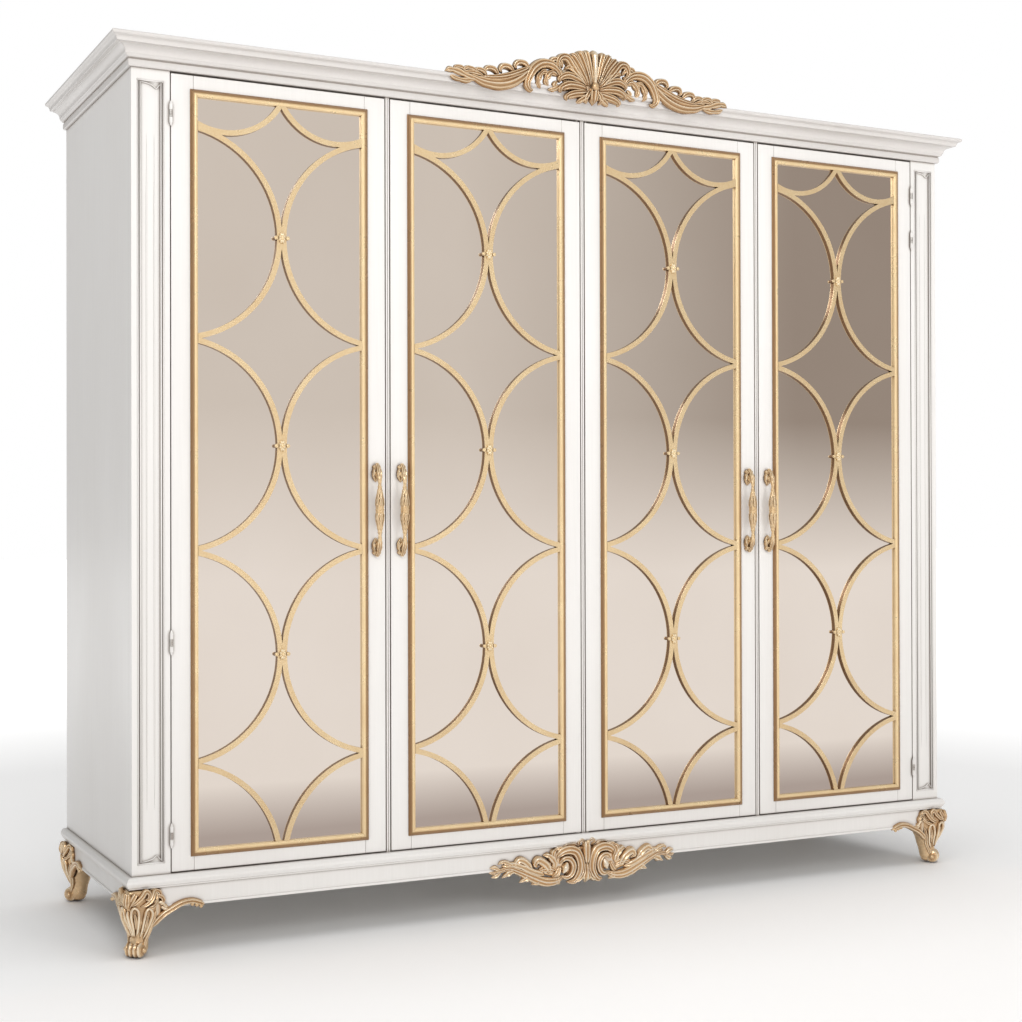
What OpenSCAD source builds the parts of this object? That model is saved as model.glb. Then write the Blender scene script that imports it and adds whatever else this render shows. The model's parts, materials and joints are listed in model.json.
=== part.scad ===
// Four-door mirrored armoire on gilded cabriole feet.
// Millimetres. +Z is up, the doors face -Y, and the origin is the middle of the footprint on the floor.

/* [Body] */
// Width over the two side panels
body_w = 2300; // [1900:10:2600]
// Depth from the door faces to the back panels
body_d = 680; // [560:10:720]
// Height between the top of the base and the underside of the cornice
body_h = 1805; // [1700:5:1900]
// Width of each front pilaster
pilaster_w = 88; // [70:1:110]
// Thickness of the structural boards
board_t = 22; // [18:1:25]

/* [Base] */
// Height of the top of the base above the floor
base_h = 182; // [160:1:210]
// Thickness of the rounded moulding around the top of the base
moulding_t = 27; // [20:1:34]
// How far that moulding stands out from the body
moulding_out = 16; // [10:1:24]
// Height of the rail below the moulding
rail_h = 48; // [36:1:60]

/* [Doors] */
// Thickness of a door frame
door_t = 24; // [20:1:26]
// Clearance around a door
door_gap = 2.1; // [1.5:0.1:4]
// Width of the fixed bead between two doors
mullion_w = 10; // [8:0.5:16]
// White border outside the gilded moulding, at the sides of a door
border_side = 44; // [36:1:60]
// The same border at the top and bottom of a door
border_end = 31; // [26:1:50]
// Width of the gilded moulding around a mirror
gold_w = 17; // [12:1:24]

/* [Lattice] */
// Radius of the large rings, to the middle of the strip
ring_r = 241; // [200:1:260]
// Height from one crossing of the rings to the next
ring_step = 482; // [420:1:500]
// Height of the lowest crossing above the bottom of the door
first_crossing = 480; // [420:1:520]
// Width of a lattice strip
strip_w = 12.4; // [8:0.2:18]
// Radius of the two small arcs at the top of a door
small_arc_r = 152; // [110:1:170]

/* [Handles] */
// Overall length of a handle
handle_len = 218; // [160:2:260]
// Height of the middle of the handles above the top of the base
handle_z = 817; // [700:1:950]
// Distance from a handle to the closing edge of its door
handle_inset = 25; // [20:1:40]

/* [Cornice] */
// Height of the cornice
cornice_h = 65.5; // [50:0.5:90]
// How far the cornice stands out from the body
cornice_out = 54; // [40:1:70]

/* [Parts] */
// Which part to show

/* [Hidden] */

$fn = 48;
eps = 0.01;
hairline = 0.05;                                     // open joint between two glued lengths

// overall layout
crest_t = 24;                                        // depth of the crest in front of the cornice
half_w = body_w / 2;
half_d = (body_d + cornice_out + crest_t) / 2;
front_y = cornice_out + crest_t - half_d;            // plane of the door and pilaster faces
back_y = half_d;
carcass_y = front_y + door_t + 2;                    // front edges of the boards behind the doors
top_z = base_h + body_h;                             // underside of the cornice
back_t = 6;                                          // back panels
post_t = carcass_y - front_y;                        // thickness of pilasters and mullions

// doors
opening_w = body_w - 2 * pilaster_w;
meeting_w = mullion_w + 2 * door_gap;                // from one door to the next
door_w = (opening_w - 2 * door_gap - 3 * meeting_w) / 4;
door_pitch = door_w + meeting_w;
door_z = base_h + 3;                                 // bottom edge of the doors
door_h = top_z - 4 - door_z;
frame_in = 8;                                        // moulding that lies on the frame
stile_w = border_side + frame_in;
rail_w = border_end + frame_in;
mirror_sink = 3;                                     // mirror face behind the door face
mirror_t = 4;
gold_proud = 6.5;                                    // moulding in front of the door face
strip_proud = 5;                                     // lattice in front of the door face

function door_x(i) = -opening_w / 2 + door_gap + (i - 1) * door_pitch;   // left edge of door i
function door_mid(i) = door_x(i) + door_w / 2;

// hinges of the outer doors
leaf_t = 0.8;
knuckle_r = 4;
knuckle_y = front_y - knuckle_r - 0.25;
hinge_len = 42;
hinge_pin_r = 1.5;
running_fit = 0.06;                                  // radial clearance of a pin in its bore
hinge_z_left = [85, 518, 1709];                      // middles above the top of the base
hinge_z_right = [94, 1579, 1704];

// pivots of the inner doors
pivot_in = 6;                                        // from the hinged edge and from the face
pivot_r = 3;
bush_r = 4.8;
bush_len = 20;

// inside
shelf_t = 18;
shelf_front = 20;                                    // shelves stop short of the doors
hat_shelf_z = 1480;                                  // top faces above the top of the base
centre_shelf_z = [400, 760, 1120, 1480];
bottom_top = base_h + board_t;
top_under = top_z - board_t;
rail_tube_r = 12.5;
rail_drop = 60;                                      // hanging rail below its shelf
partition_x = [-door_pitch, 0, door_pitch];

paint = [0.89, 0.87, 0.84];
inner = [0.90, 0.88, 0.85];
gold = [0.80, 0.62, 0.36];
steel = [0.75, 0.75, 0.74];

// ------- shared shapes

// a box from its lowest corner to its highest
module block(a, b) {
    translate(a) cube([b[0] - a[0], b[1] - a[1], b[2] - a[2]]);
}

// arc points around a centre, from angle a0 to a1
function arc(cx, cy, r, a0, a1, n) =
    [for (i = [0 : n]) [cx + r * cos(a0 + (a1 - a0) * i / n), cy + r * sin(a0 + (a1 - a0) * i / n)]];

// a polygon of [outward, height] points run along X, facing -Y
module run_front(points, x0, x1) {
    translate([x0, front_y, 0]) rotate([90, 0, 90])
        linear_extrude(x1 - x0) polygon([for (q = points) [-q[0], q[1]]]);
}

// the same run along Y on the left side, facing -X
module run_left(points, y0, y1) {
    translate([-half_w, y1, 0]) rotate([90, 0, 0])
        linear_extrude(y1 - y0) polygon([for (q = points) [-q[0], q[1]]]);
}

// everything on the side's half of the front left mitre
module mitre_left(reach) {
    translate([-half_w, front_y, 0]) rotate([0, 0, 45])
        translate([-reach, -hairline / 2, -1]) cube([2 * reach, 2 * reach, top_z + 400]);
}

// everything on the front's half of it
module mitre_front(reach) {
    translate([-half_w, front_y, 0]) rotate([0, 0, 45])
        translate([-reach, hairline / 2 - 2 * reach, -1]) cube([2 * reach, 2 * reach, top_z + 400]);
}

module mirror_x() {
    mirror([1, 0, 0]) children();
}

// ------- carcass

module side_panel() {
    block([-half_w, carcass_y, base_h], [-half_w + board_t, back_y, top_z]);
}

module side_panel_left() {
    color(paint) side_panel();
}

module side_panel_right() {
    color(paint) mirror_x() side_panel();
}

module top_panel() {
    color(inner) block([-half_w + board_t, carcass_y, top_under], [half_w - board_t, back_y - back_t, top_z]);
}

module bottom_panel() {
    color(inner) block([-half_w + board_t, carcass_y, base_h], [half_w - board_t, back_y - back_t, bottom_top]);
}

module partition(x) {
    color(inner) block([x - board_t / 2, carcass_y, bottom_top], [x + board_t / 2, back_y - back_t, top_under]);
}

module partition_left() {
    partition(partition_x[0]);
}

module partition_centre() {
    partition(partition_x[1]);
}

module partition_right() {
    partition(partition_x[2]);
}

module back_panels() {
    color(inner) {
        block([-half_w + board_t, back_y - back_t, base_h], [-0.5, back_y, top_z]);
        block([0.5, back_y - back_t, base_h], [half_w - board_t, back_y, top_z]);
    }
}

// ------- front posts

panel_edge = 15;                 // plain border beside the sunk panel of a pilaster
panel_end = 27;                  // plain border above and below it
panel_depth = 4;
panel_slope = 5;

module pilaster() {
    x0 = -half_w + panel_edge;
    x1 = -half_w + pilaster_w - panel_edge;
    z0 = base_h + panel_end;
    z1 = top_z - panel_end;
    s = panel_slope;
    difference() {
        block([-half_w, front_y, base_h], [-half_w + pilaster_w, carcass_y, top_z]);
        polyhedron(
            points = [
                [x0, front_y - eps, z0], [x1, front_y - eps, z0], [x1, front_y - eps, z1], [x0, front_y - eps, z1],
                [x0 + s, front_y + panel_depth, z0 + s], [x1 - s, front_y + panel_depth, z0 + s],
                [x1 - s, front_y + panel_depth, z1 - s], [x0 + s, front_y + panel_depth, z1 - s]],
            faces = [[3, 2, 1, 0], [4, 5, 6, 7], [0, 1, 5, 4], [1, 2, 6, 5], [2, 3, 7, 6], [3, 0, 4, 7]]);
    }
}

module pilaster_left() {
    color(paint) pilaster();
}

module pilaster_right() {
    color(paint) mirror_x() pilaster();
}

// two beads side by side on the face of each mullion
module mullions() {
    bead = mullion_w / 4;
    section = concat([[-mullion_w / 2, post_t], [-mullion_w / 2, bead]],
        arc(-bead, bead, bead, 180, 360, 8), arc(bead, bead, bead, 180, 360, 8), [[mullion_w / 2, post_t]]);
    color(paint) for (x = partition_x)
        translate([x, front_y, base_h]) linear_extrude(body_h) polygon(section);
}

// ------- cornice

cornice_back = -post_t;
cove_r = 16.5;
cornice_section = concat(
    [[cornice_back, 0], [6, 0], [8, 1.5], [8.7, 6], [8.7, 12], [8, 15.5], [6.2, 17], [6.2, 18.5]],
    arc(8, 26, 7.2, -75, -10, 5),
    [[17, 26.5]],
    arc(33.5, 26.5, cove_r, 180, 90, 10),
    [[33.5, 44.5], [42, 44.5], [42.6, 48]],
    arc(51, 48, 8, 170, 100, 5),
    [[52, cornice_h - 9], [cornice_out, cornice_h - 7], [cornice_out, cornice_h - 2.5],
     [cornice_out - 2, cornice_h], [cornice_back, cornice_h]]);
cornice_points = [for (q = cornice_section) [q[0], q[1] + top_z]];

module cornice_front() {
    far = 2 * cornice_out;
    color(paint) difference() {
        run_front(cornice_points, -half_w - cornice_out, half_w + cornice_out);
        mitre_left(far);
        mirror_x() mitre_left(far);
    }
}

module cornice_side() {
    difference() {
        run_left(cornice_points, front_y - cornice_out, back_y);
        mitre_front(4 * cornice_out);
    }
}

module cornice_left() {
    color(paint) cornice_side();
}

module cornice_right() {
    color(paint) mirror_x() cornice_side();
}

module cornice_cap() {
    color(paint) block([-half_w + post_t, front_y + post_t, top_z], [half_w - post_t, back_y, top_z + 12]);
}

// ------- base

moulding_back = -60;
mould_z = base_h - moulding_t;
rail_z = mould_z - rail_h;
base_rail_t = 20;
mould_section = concat(
    [[moulding_back, 0], [moulding_out - 7, 0], [moulding_out - 7, 4], [moulding_out - 4, 5]],
    arc(moulding_out - 8, 15, 8, -40, 45, 6),
    arc(moulding_out - 10, moulding_t - 7, 7, 30, 90, 4),
    [[moulding_back, moulding_t]]);
mould_points = [for (q = mould_section) [q[0], q[1] + mould_z]];
rail_section = [[-base_rail_t, 0], [1.6, 0], [2.4, 1.6], [2.4, 4.4], [1.6, 6], [0, 7], [0, rail_h], [-base_rail_t, rail_h]];
rail_points = [for (q = rail_section) [q[0], q[1] + rail_z]];

module side_length(points) {
    difference() {
        run_left(points, front_y - 2 * moulding_out, back_y);
        mitre_front(300);
    }
}

module front_length(points) {
    difference() {
        run_front(points, -half_w - 2 * moulding_out, half_w + 2 * moulding_out);
        mitre_left(150);
        mirror_x() mitre_left(150);
    }
}

module base_moulding() {
    color(paint) {
        front_length(mould_points);
        side_length(mould_points);
        mirror_x() side_length(mould_points);
        block([-half_w - moulding_back + hairline, back_y + moulding_back, mould_z],
            [half_w + moulding_back - hairline, back_y, base_h]);
    }
}

// corner blocks stand behind the rails and carry the feet
block_side = 70;

module corner_block(y) {
    x0 = -half_w + base_rail_t + hairline;
    block([x0, y, rail_z], [x0 + block_side, y + block_side, mould_z]);
}

module base_frame() {
    color(paint) {
        front_length(rail_points);
        side_length(rail_points);
        mirror_x() side_length(rail_points);
        block([-half_w + base_rail_t + hairline, back_y - base_rail_t, rail_z],
            [half_w - base_rail_t - hairline, back_y, mould_z]);
        for (y = [front_y + base_rail_t + hairline, back_y - base_rail_t - block_side - hairline]) {
            corner_block(y);
            mirror_x() corner_block(y);
        }
    }
}

// ------- feet

// side outline of a leg: distance out along the corner's diagonal, height
leg_side = concat(
    [[-84, mould_z], [14, mould_z], [19, 145], [21, 130], [20, 115], [15, 100], [6, 84], [-2, 70], [-8, 58],
     [-10, 48], [-8, 40]],
    arc(-14, 20, 20, 60, -80, 10),
    [[-14, 0], [-32, 0], [-40, 4], [-48, 16], [-53, 32], [-55, 50], [-58, 66], [-64, 82], [-74, 96], [-84, rail_z]]);
// front outline: half width across the diagonal, height
leg_half = [[19, 0], [22, 3], [25, 12], [25, 28], [22, 38], [21, 46], [23, 56], [28, 70], [34, 84], [40, 98],
    [43, 118], [41, 138], [34, mould_z]];
knee_out = 16;                   // how far the knee stands out from the rails
knee_round = 10;
// bracket outline: distance in from the corner, height
wing = [[30, 148], [38, mould_z], [56, 146], [67, 134], [79, 115], [96, 111], [108, 117], [120, 122], [134, 124],
    [148, 122], [162, 116], [172, 109], [166, 100], [153, 98], [140, 106], [126, 111], [110, 106], [96, 100],
    [86, 93], [77, 77], [62, 72], [50, 60], [30, 80]];
wing_out = 12;                   // bracket in front of the rail
wing_in = -8;                    // and behind its face, below the rail

module leg() {
    intersection() {
        translate([-half_w, front_y, 0]) rotate([90, 0, -135]) translate([0, 0, -60])
            linear_extrude(120) polygon(leg_side);
        translate([-half_w, front_y, 0]) rotate([90, 0, -45]) translate([0, 0, -110])
            linear_extrude(220) polygon(concat(leg_half, [for (i = [len(leg_half) - 1 : -1 : 0])
                [-leg_half[i][0], leg_half[i][1]]]));
        translate([-half_w - knee_out, front_y - knee_out, 0]) linear_extrude(mould_z)
            polygon(concat(arc(knee_round, knee_round, knee_round, 180, 270, 6), [[130, 0], [130, 130], [0, 130]]));
    }
}

module wing_front() {
    translate([-half_w, front_y - wing_out, 0]) rotate([90, 0, 0]) translate([0, 0, wing_in - wing_out])
        linear_extrude(wing_out - wing_in) polygon(wing);
}

module wing_side() {
    translate([-half_w - wing_out, front_y, 0]) rotate([90, 0, 90])
        linear_extrude(wing_out - wing_in) polygon(wing);
}

// the rails with their lower bead, which the carving is fitted around
module rail_corner() {
    big = 300;
    block([-half_w, front_y, rail_z - 0.02], [-half_w + big, front_y + big, base_h]);
    block([-half_w - 2.42, front_y - 2.42, rail_z - 0.02], [-half_w + big, front_y + big, rail_z + 7.02]);
}

module front_foot() {
    difference() {
        union() {
            leg();
            wing_front();
            wing_side();
        }
        rail_corner();
    }
}

// a rear foot stays inside the back plane and has a bracket on the side only
module rear_foot() {
    difference() {
        translate([0, front_y + back_y - knee_out, 0]) mirror([0, 1, 0]) {
            leg();
            wing_side();
        }
        block([-half_w, 0, rail_z - 0.02], [0, back_y + 1, base_h]);
        block([-half_w - 2.42, 0, rail_z - 0.02], [0, back_y + 1, rail_z + 7.02]);
    }
}

module foot_front_left() {
    color(gold) front_foot();
}

module foot_front_right() {
    color(gold) mirror_x() front_foot();
}

module foot_back_left() {
    color(gold) rear_foot();
}

module foot_back_right() {
    color(gold) mirror_x() rear_foot();
}

// ------- carvings

// right half of the apron carving: distance from the middle, height
apron_half = [[0, 57], [24, 64], [54, 72], [80, 66], [112, 72], [140, 80], [160, 92], [186, 86], [206, 94],
    [232, 92], [262, 100], [271, 107], [264, 116], [236, 124], [214, 132], [196, 118], [172, 124], [150, 136],
    [118, 140], [96, 150], [62, 158], [30, 166], [0, 173]];
// right half of the crest: distance from the middle, height above the base
crest_half = [[0, 1831], [20, 1845], [49, 1846], [73, 1853], [97, 1864], [139, 1867], [174, 1859], [211, 1850],
    [259, 1844], [307, 1844], [342, 1852], [384, 1846], [408, 1860], [402, 1870], [366, 1875], [336, 1872],
    [318, 1880], [288, 1880], [270, 1888], [246, 1892], [216, 1889], [208, 1903], [184, 1900], [174, 1910],
    [150, 1916], [120, 1918], [102, 1912], [97, 1926], [82, 1940], [61, 1946], [43, 1955], [20, 1966], [0, 1972]];
crest_shell_w = 98;              // half width of the thick middle of the crest
crest_wing_t = 15;
apron_mid_w = 100;
apron_t = 26;
apron_wing_t = 16;

// both halves of an outline
function both(half, lift) = concat([for (q = half) [q[0], q[1] + lift]],
    [for (i = [len(half) - 2 : -1 : 1]) [-half[i][0], half[i][1] + lift]]);

module slab(points, y_face, t) {
    translate([0, y_face + t, 0]) rotate([90, 0, 0]) linear_extrude(t) polygon(points);
}

module crest_carving() {
    outline = both(crest_half, base_h);
    nose_y = front_y - cornice_out;
    color(gold) {
        slab(outline, nose_y - crest_wing_t, crest_wing_t);
        intersection() {
            slab(outline, nose_y - crest_t, crest_t - crest_wing_t);
            block([-crest_shell_w, nose_y - crest_t, 0], [crest_shell_w, nose_y, 2 * top_z]);
        }
    }
}

module apron_carving() {
    outline = both(apron_half, 0);
    hang = 8;                    // the part below the rail runs back under it
    color(gold) difference() {
        union() {
            slab(outline, front_y - apron_wing_t, apron_wing_t + hang);
            intersection() {
                slab(outline, front_y - apron_t, apron_t);
                block([-apron_mid_w, front_y - apron_t, 0], [apron_mid_w, front_y, base_h]);
            }
        }
        block([-half_w, front_y, rail_z - 0.02], [half_w, back_y, base_h]);
        block([-half_w, front_y - 2.42, rail_z - 0.02], [half_w, back_y, rail_z + 7.02]);
        block([-half_w, front_y - moulding_out - 0.02, mould_z - 0.02], [half_w, back_y, base_h]);
    }
}

// ------- inside

module hat_shelves() {
    color(inner) for (s = [-1, 1]) {
        x0 = s > 0 ? partition_x[2] + board_t / 2 : -half_w + board_t;
        x1 = s > 0 ? half_w - board_t : partition_x[0] - board_t / 2;
        block([x0 + 0.5, carcass_y + shelf_front, base_h + hat_shelf_z - shelf_t],
            [x1 - 0.5, back_y - back_t, base_h + hat_shelf_z]);
    }
}

module centre_shelves() {
    color(inner) for (s = [0, 1], z = centre_shelf_z) {
        x0 = partition_x[s] + board_t / 2;
        x1 = partition_x[s + 1] - board_t / 2;
        block([x0 + 0.5, carcass_y + shelf_front, base_h + z - shelf_t],
            [x1 - 0.5, back_y - back_t, base_h + z]);
    }
}

rail_y = (carcass_y + shelf_front + back_y - back_t) / 2;
rail_axis_z = base_h + hat_shelf_z - shelf_t - rail_drop;
socket_t = 4;
outer_bay = [-half_w + board_t, partition_x[0] - board_t / 2];

module hanging_rail() {
    translate([outer_bay[0] + socket_t, rail_y, rail_axis_z]) rotate([0, 90, 0])
        cylinder(r = rail_tube_r, h = outer_bay[1] - outer_bay[0] - 2 * socket_t);
}

module hanging_rails() {
    color(steel) {
        hanging_rail();
        mirror_x() hanging_rail();
    }
}

module rail_socket(x) {
    translate([x, rail_y, rail_axis_z]) rotate([0, 90, 0]) cylinder(r = rail_tube_r + 10, h = socket_t);
}

module rail_sockets() {
    color(steel) {
        rail_socket(outer_bay[0]);
        rail_socket(outer_bay[1] - socket_t);
        mirror_x() rail_socket(outer_bay[0]);
        mirror_x() rail_socket(outer_bay[1] - socket_t);
    }
}

pin_r = 2.5;
pin_len = 9;
pin_inset = 60;

// two pins at each end of a shelf, just below it
module pins_at(x0, x1, z) {
    for (y = [carcass_y + shelf_front + pin_inset, back_y - back_t - pin_inset]) {
        translate([x0, y, z - pin_r]) rotate([0, 90, 0]) cylinder(r = pin_r, h = pin_len, $fn = 24);
        translate([x1 - pin_len, y, z - pin_r]) rotate([0, 90, 0]) cylinder(r = pin_r, h = pin_len, $fn = 24);
    }
}

module shelf_pins() {
    color(steel) {
        pins_at(outer_bay[0], outer_bay[1], base_h + hat_shelf_z - shelf_t);
        mirror_x() pins_at(outer_bay[0], outer_bay[1], base_h + hat_shelf_z - shelf_t);
        for (s = [0, 1], z = centre_shelf_z)
            pins_at(partition_x[s] + board_t / 2, partition_x[s + 1] - board_t / 2, base_h + z - shelf_t);
    }
}

// ------- doors

module stile(x0, x1) {
    r = 1.5;
    translate([0, front_y, door_z]) linear_extrude(door_h)
        polygon(concat([[x1, door_t], [x0, door_t]], arc(x0 + r, r, r, 180, 270, 3), arc(x1 - r, r, r, 270, 360, 3)));
}

module door_frame(i) {
    x0 = door_x(i);
    x1 = x0 + door_w;
    color(paint) {
        if (i == 2 || i == 3) {
            pivot_x = i == 2 ? x1 - pivot_in : x0 + pivot_in;
            stile(i == 2 ? x0 : x1 - stile_w, i == 2 ? x0 + stile_w : x1);
            difference() {
                stile(i == 2 ? x1 - stile_w : x0, i == 2 ? x1 : x0 + stile_w);
                for (z = [door_z - 1, door_z + door_h - bush_len])
                    translate([pivot_x, front_y + pivot_in, z]) cylinder(r = bush_r, h = bush_len + 1);
            }
        } else {
            stile(x0, x0 + stile_w);
            stile(x1 - stile_w, x1);
        }
        for (z = [door_z, door_z + door_h - rail_w])
            block([x0 + stile_w + hairline, front_y, z], [x1 - stile_w - hairline, front_y + door_t, z + rail_w]);
    }
}

// the panel fills the frame behind the mirror
module door_panel(i) {
    color(inner) block([door_x(i) + stile_w, front_y + mirror_sink + mirror_t, door_z + rail_w],
        [door_x(i) + door_w - stile_w, front_y + door_t, door_z + door_h - rail_w]);
}

module door_mirror(i) {
    fit = 0.5;
    color([0.8, 0.8, 0.8]) block([door_x(i) + stile_w + fit, front_y + mirror_sink, door_z + rail_w + fit],
        [door_x(i) + door_w - stile_w - fit, front_y + mirror_sink + mirror_t, door_z + door_h - rail_w - fit]);
}

// moulding section: distance in from its outer edge, height in front of the door
gold_section = [[0, 0], [0, 1.2], [1, 1.6], [2.2, 2.6], [3.2, 4.2], [4, 5.5], [5.2, 6.1], [6.8, 6.2], [7.6, 5.4],
    [8.2, 4.8], [8.8, 5.1], [9.8, 6.1], [11.8, gold_proud], [13.8, 6.2], [15, 5.5], [15.6, 4.6],
    [gold_w, 4.4], [gold_w, -mirror_sink], [frame_in, -mirror_sink], [frame_in, 0]];

// one mitred length, run up from the origin with its outer edge on the Z axis
module gold_length(run) {
    cut = 60;
    difference() {
        linear_extrude(run) polygon([for (q = gold_section) [q[0], -q[1]]]);
        translate([0, 0, hairline / 2]) rotate([0, -45, 0])
            translate([-cut, -cut, -2 * cut]) cube([3 * cut, 2 * cut, 2 * cut]);
        translate([0, 0, run - hairline / 2]) rotate([0, 45, 0])
            translate([-cut, -cut, 0]) cube([3 * cut, 2 * cut, 2 * cut]);
    }
}

module door_gold_frame(i) {
    x0 = door_x(i) + border_side;
    x1 = door_x(i) + door_w - border_side;
    z0 = door_z + border_end;
    z1 = door_z + door_h - border_end;
    color(gold) {
        translate([x0, front_y, z0]) gold_length(z1 - z0);
        translate([x1, front_y, z0]) mirror([1, 0, 0]) gold_length(z1 - z0);
        translate([x0, front_y, z0]) rotate([0, 90, 0]) mirror([1, 0, 0]) gold_length(x1 - x0);
        translate([x0, front_y, z1]) rotate([0, 90, 0]) gold_length(x1 - x0);
    }
}

ring_off = ring_r + 5;           // ring centres from the middle of the door
small_arc_off = 135;
small_arc_z = 1827;              // above the bottom of the door
strip_t = strip_proud + mirror_sink;

// a flat ring standing on the mirror
module ring(x, z, r) {
    translate([x, front_y - strip_proud, z]) rotate([-90, 0, 0]) difference() {
        cylinder(r = r + strip_w / 2, h = strip_t, $fn = 128);
        translate([0, 0, -1]) cylinder(r = r - strip_w / 2, h = strip_t + 2, $fn = 128);
    }
}

rosette_r = 9;
rosette_h = 5;
knob_r = 4.5;

module rosette(x, z) {
    translate([x, front_y - strip_proud, z]) rotate([90, 0, 0]) {
        cylinder(r1 = rosette_r, r2 = rosette_r - 2, h = rosette_h);
        for (s = [-1, 1]) translate([s * (rosette_r + 5), 0, -strip_t]) cylinder(r = knob_r, h = strip_t + 3);
    }
}

module door_lattice(i) {
    xm = door_mid(i);
    inner_side = border_side + gold_w;
    inner_end = border_end + gold_w;
    color(gold) union() {
        intersection() {
            union() for (s = [-1, 1]) {
                for (n = [-1 : 2]) ring(xm + s * ring_off, door_z + first_crossing + n * ring_step, ring_r);
                ring(xm + s * small_arc_off, door_z + small_arc_z, small_arc_r);
            }
            block([door_x(i) + inner_side, front_y - 20, door_z + inner_end],
                [door_x(i) + door_w - inner_side, front_y + 20, door_z + door_h - inner_end]);
        }
        for (n = [0 : 2]) rosette(xm, door_z + first_crossing + n * ring_step);
    }
}

handle_out = 27;                 // middle of the grip in front of the door
boss_len = 38;
boss_r = 9;
// grip profile from its lower neck to its upper neck: radius, height from the middle
grip = [[0, -72], [3.6, -72], [4, -62], [5.6, -50], [7.4, -36], [9.4, -20], [10.6, -6], [11, -3], [11, 3], [10.2, 5],
    [9.6, 18], [8, 32], [5.4, 46], [4, 56], [3.6, 72], [0, 72]];

module door_handle(i) {
    right_hand = i == 1 || i == 3;
    x = right_hand ? door_x(i) + door_w - handle_inset : door_x(i) + handle_inset;
    boss_mid = handle_len / 2 - boss_len / 2;
    color(gold) translate([x, front_y, base_h + handle_z]) {
        translate([0, -handle_out, 0]) rotate_extrude() polygon(grip);
        for (s = [-1, 1]) {
            translate([0, 0, s * boss_mid]) hull() {
                for (e = [-1, 1]) translate([0, 0, e * (boss_len / 2 - boss_r)]) rotate([90, 0, 0])
                    cylinder(r1 = boss_r, r2 = boss_r - 2.5, h = 12, $fn = 32);
            }
            translate([0, 0, s * (handle_len / 2 - boss_len + 5)]) hull() {
                translate([0, -8, s * 4]) rotate([90, 0, 0]) cylinder(r = 5.5, h = 1, $fn = 24);
                translate([0, -handle_out - 3.4, -s * 4]) rotate([90, 0, 0]) translate([0, 0, -6.8])
                    cylinder(r = 3.6, h = 6.8, $fn = 24);
            }
        }
    }
}

// ------- hinges, pivots and catches

hinge_x_left = -half_w + pilaster_w + door_gap / 2;  // hinge line of the left door
band = 0.3;                      // share of a hinge's length in each fixed knuckle

// fixed leaf, its two knuckles and the pin, for the left door
module hinge_fixed(z) {
    x0 = -half_w + pilaster_w;
    low = z - hinge_len / 2;
    high = z + hinge_len / 2;
    block([x0, front_y + 0.2, low], [x0 + leaf_t, carcass_y - 2, high]);
    for (b = [[low, low + band * hinge_len], [high - band * hinge_len, high]]) {
        block([x0, knuckle_y, b[0]], [x0 + leaf_t, front_y + 0.3, b[1]]);
        translate([hinge_x_left, knuckle_y, b[0]]) cylinder(r = knuckle_r, h = b[1] - b[0]);
    }
    translate([hinge_x_left, knuckle_y, low]) cylinder(r = hinge_pin_r, h = hinge_len);
    translate([hinge_x_left, knuckle_y, high]) cylinder(r1 = knuckle_r - 0.6, r2 = 1.2, h = 7);
    translate([hinge_x_left, knuckle_y, low - 7]) cylinder(r1 = 1.2, r2 = knuckle_r - 0.6, h = 7);
}

// moving leaf with the middle knuckle
module hinge_moving(z) {
    x0 = hinge_x_left + door_gap / 2 - leaf_t;
    low = z - hinge_len / 2;
    high = z + hinge_len / 2;
    k0 = low + band * hinge_len + 0.3;
    k1 = high - band * hinge_len - 0.3;
    block([x0, front_y + 0.2, low], [x0 + leaf_t, front_y + door_t - 2, high]);
    difference() {
        union() {
            block([x0, knuckle_y, k0], [x0 + leaf_t, front_y + 0.3, k1]);
            translate([hinge_x_left, knuckle_y, k0]) cylinder(r = knuckle_r, h = k1 - k0);
        }
        translate([hinge_x_left, knuckle_y, k0 - 1]) cylinder(r = hinge_pin_r + running_fit, h = k1 - k0 + 2);
    }
}

module hinges_fixed() {
    color(paint) {
        for (z = hinge_z_left) hinge_fixed(base_h + z);
        for (z = hinge_z_right) mirror_x() hinge_fixed(base_h + z);
    }
}

// pins for the two inner doors, each with the washer that carries its door
module pivot_pins() {
    color(steel) for (s = [-1, 1]) {
        translate([s * (meeting_w / 2 + pivot_in), front_y + pivot_in, 0]) {
            translate([0, 0, base_h]) cylinder(r = pivot_r, h = door_z - base_h + bush_len - 4);
            translate([0, 0, base_h]) cylinder(r = bush_r, h = door_z - base_h - 0.3);
            translate([0, 0, door_z + door_h - bush_len + 4])
                cylinder(r = pivot_r, h = top_z - door_z - door_h + bush_len - 4);
        }
    }
}

catch_w = 40;
strike_t = 1;

function catch_x(i) = (i == 1 || i == 3) ? door_x(i) + door_w - 90 : door_x(i) + 90;

module door_catches() {
    color(steel) for (i = [1 : 4])
        block([catch_x(i) - catch_w / 2, front_y + door_t + strike_t + 0.3, top_under - 14],
            [catch_x(i) + catch_w / 2, carcass_y + 26, top_under]);
}

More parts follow.
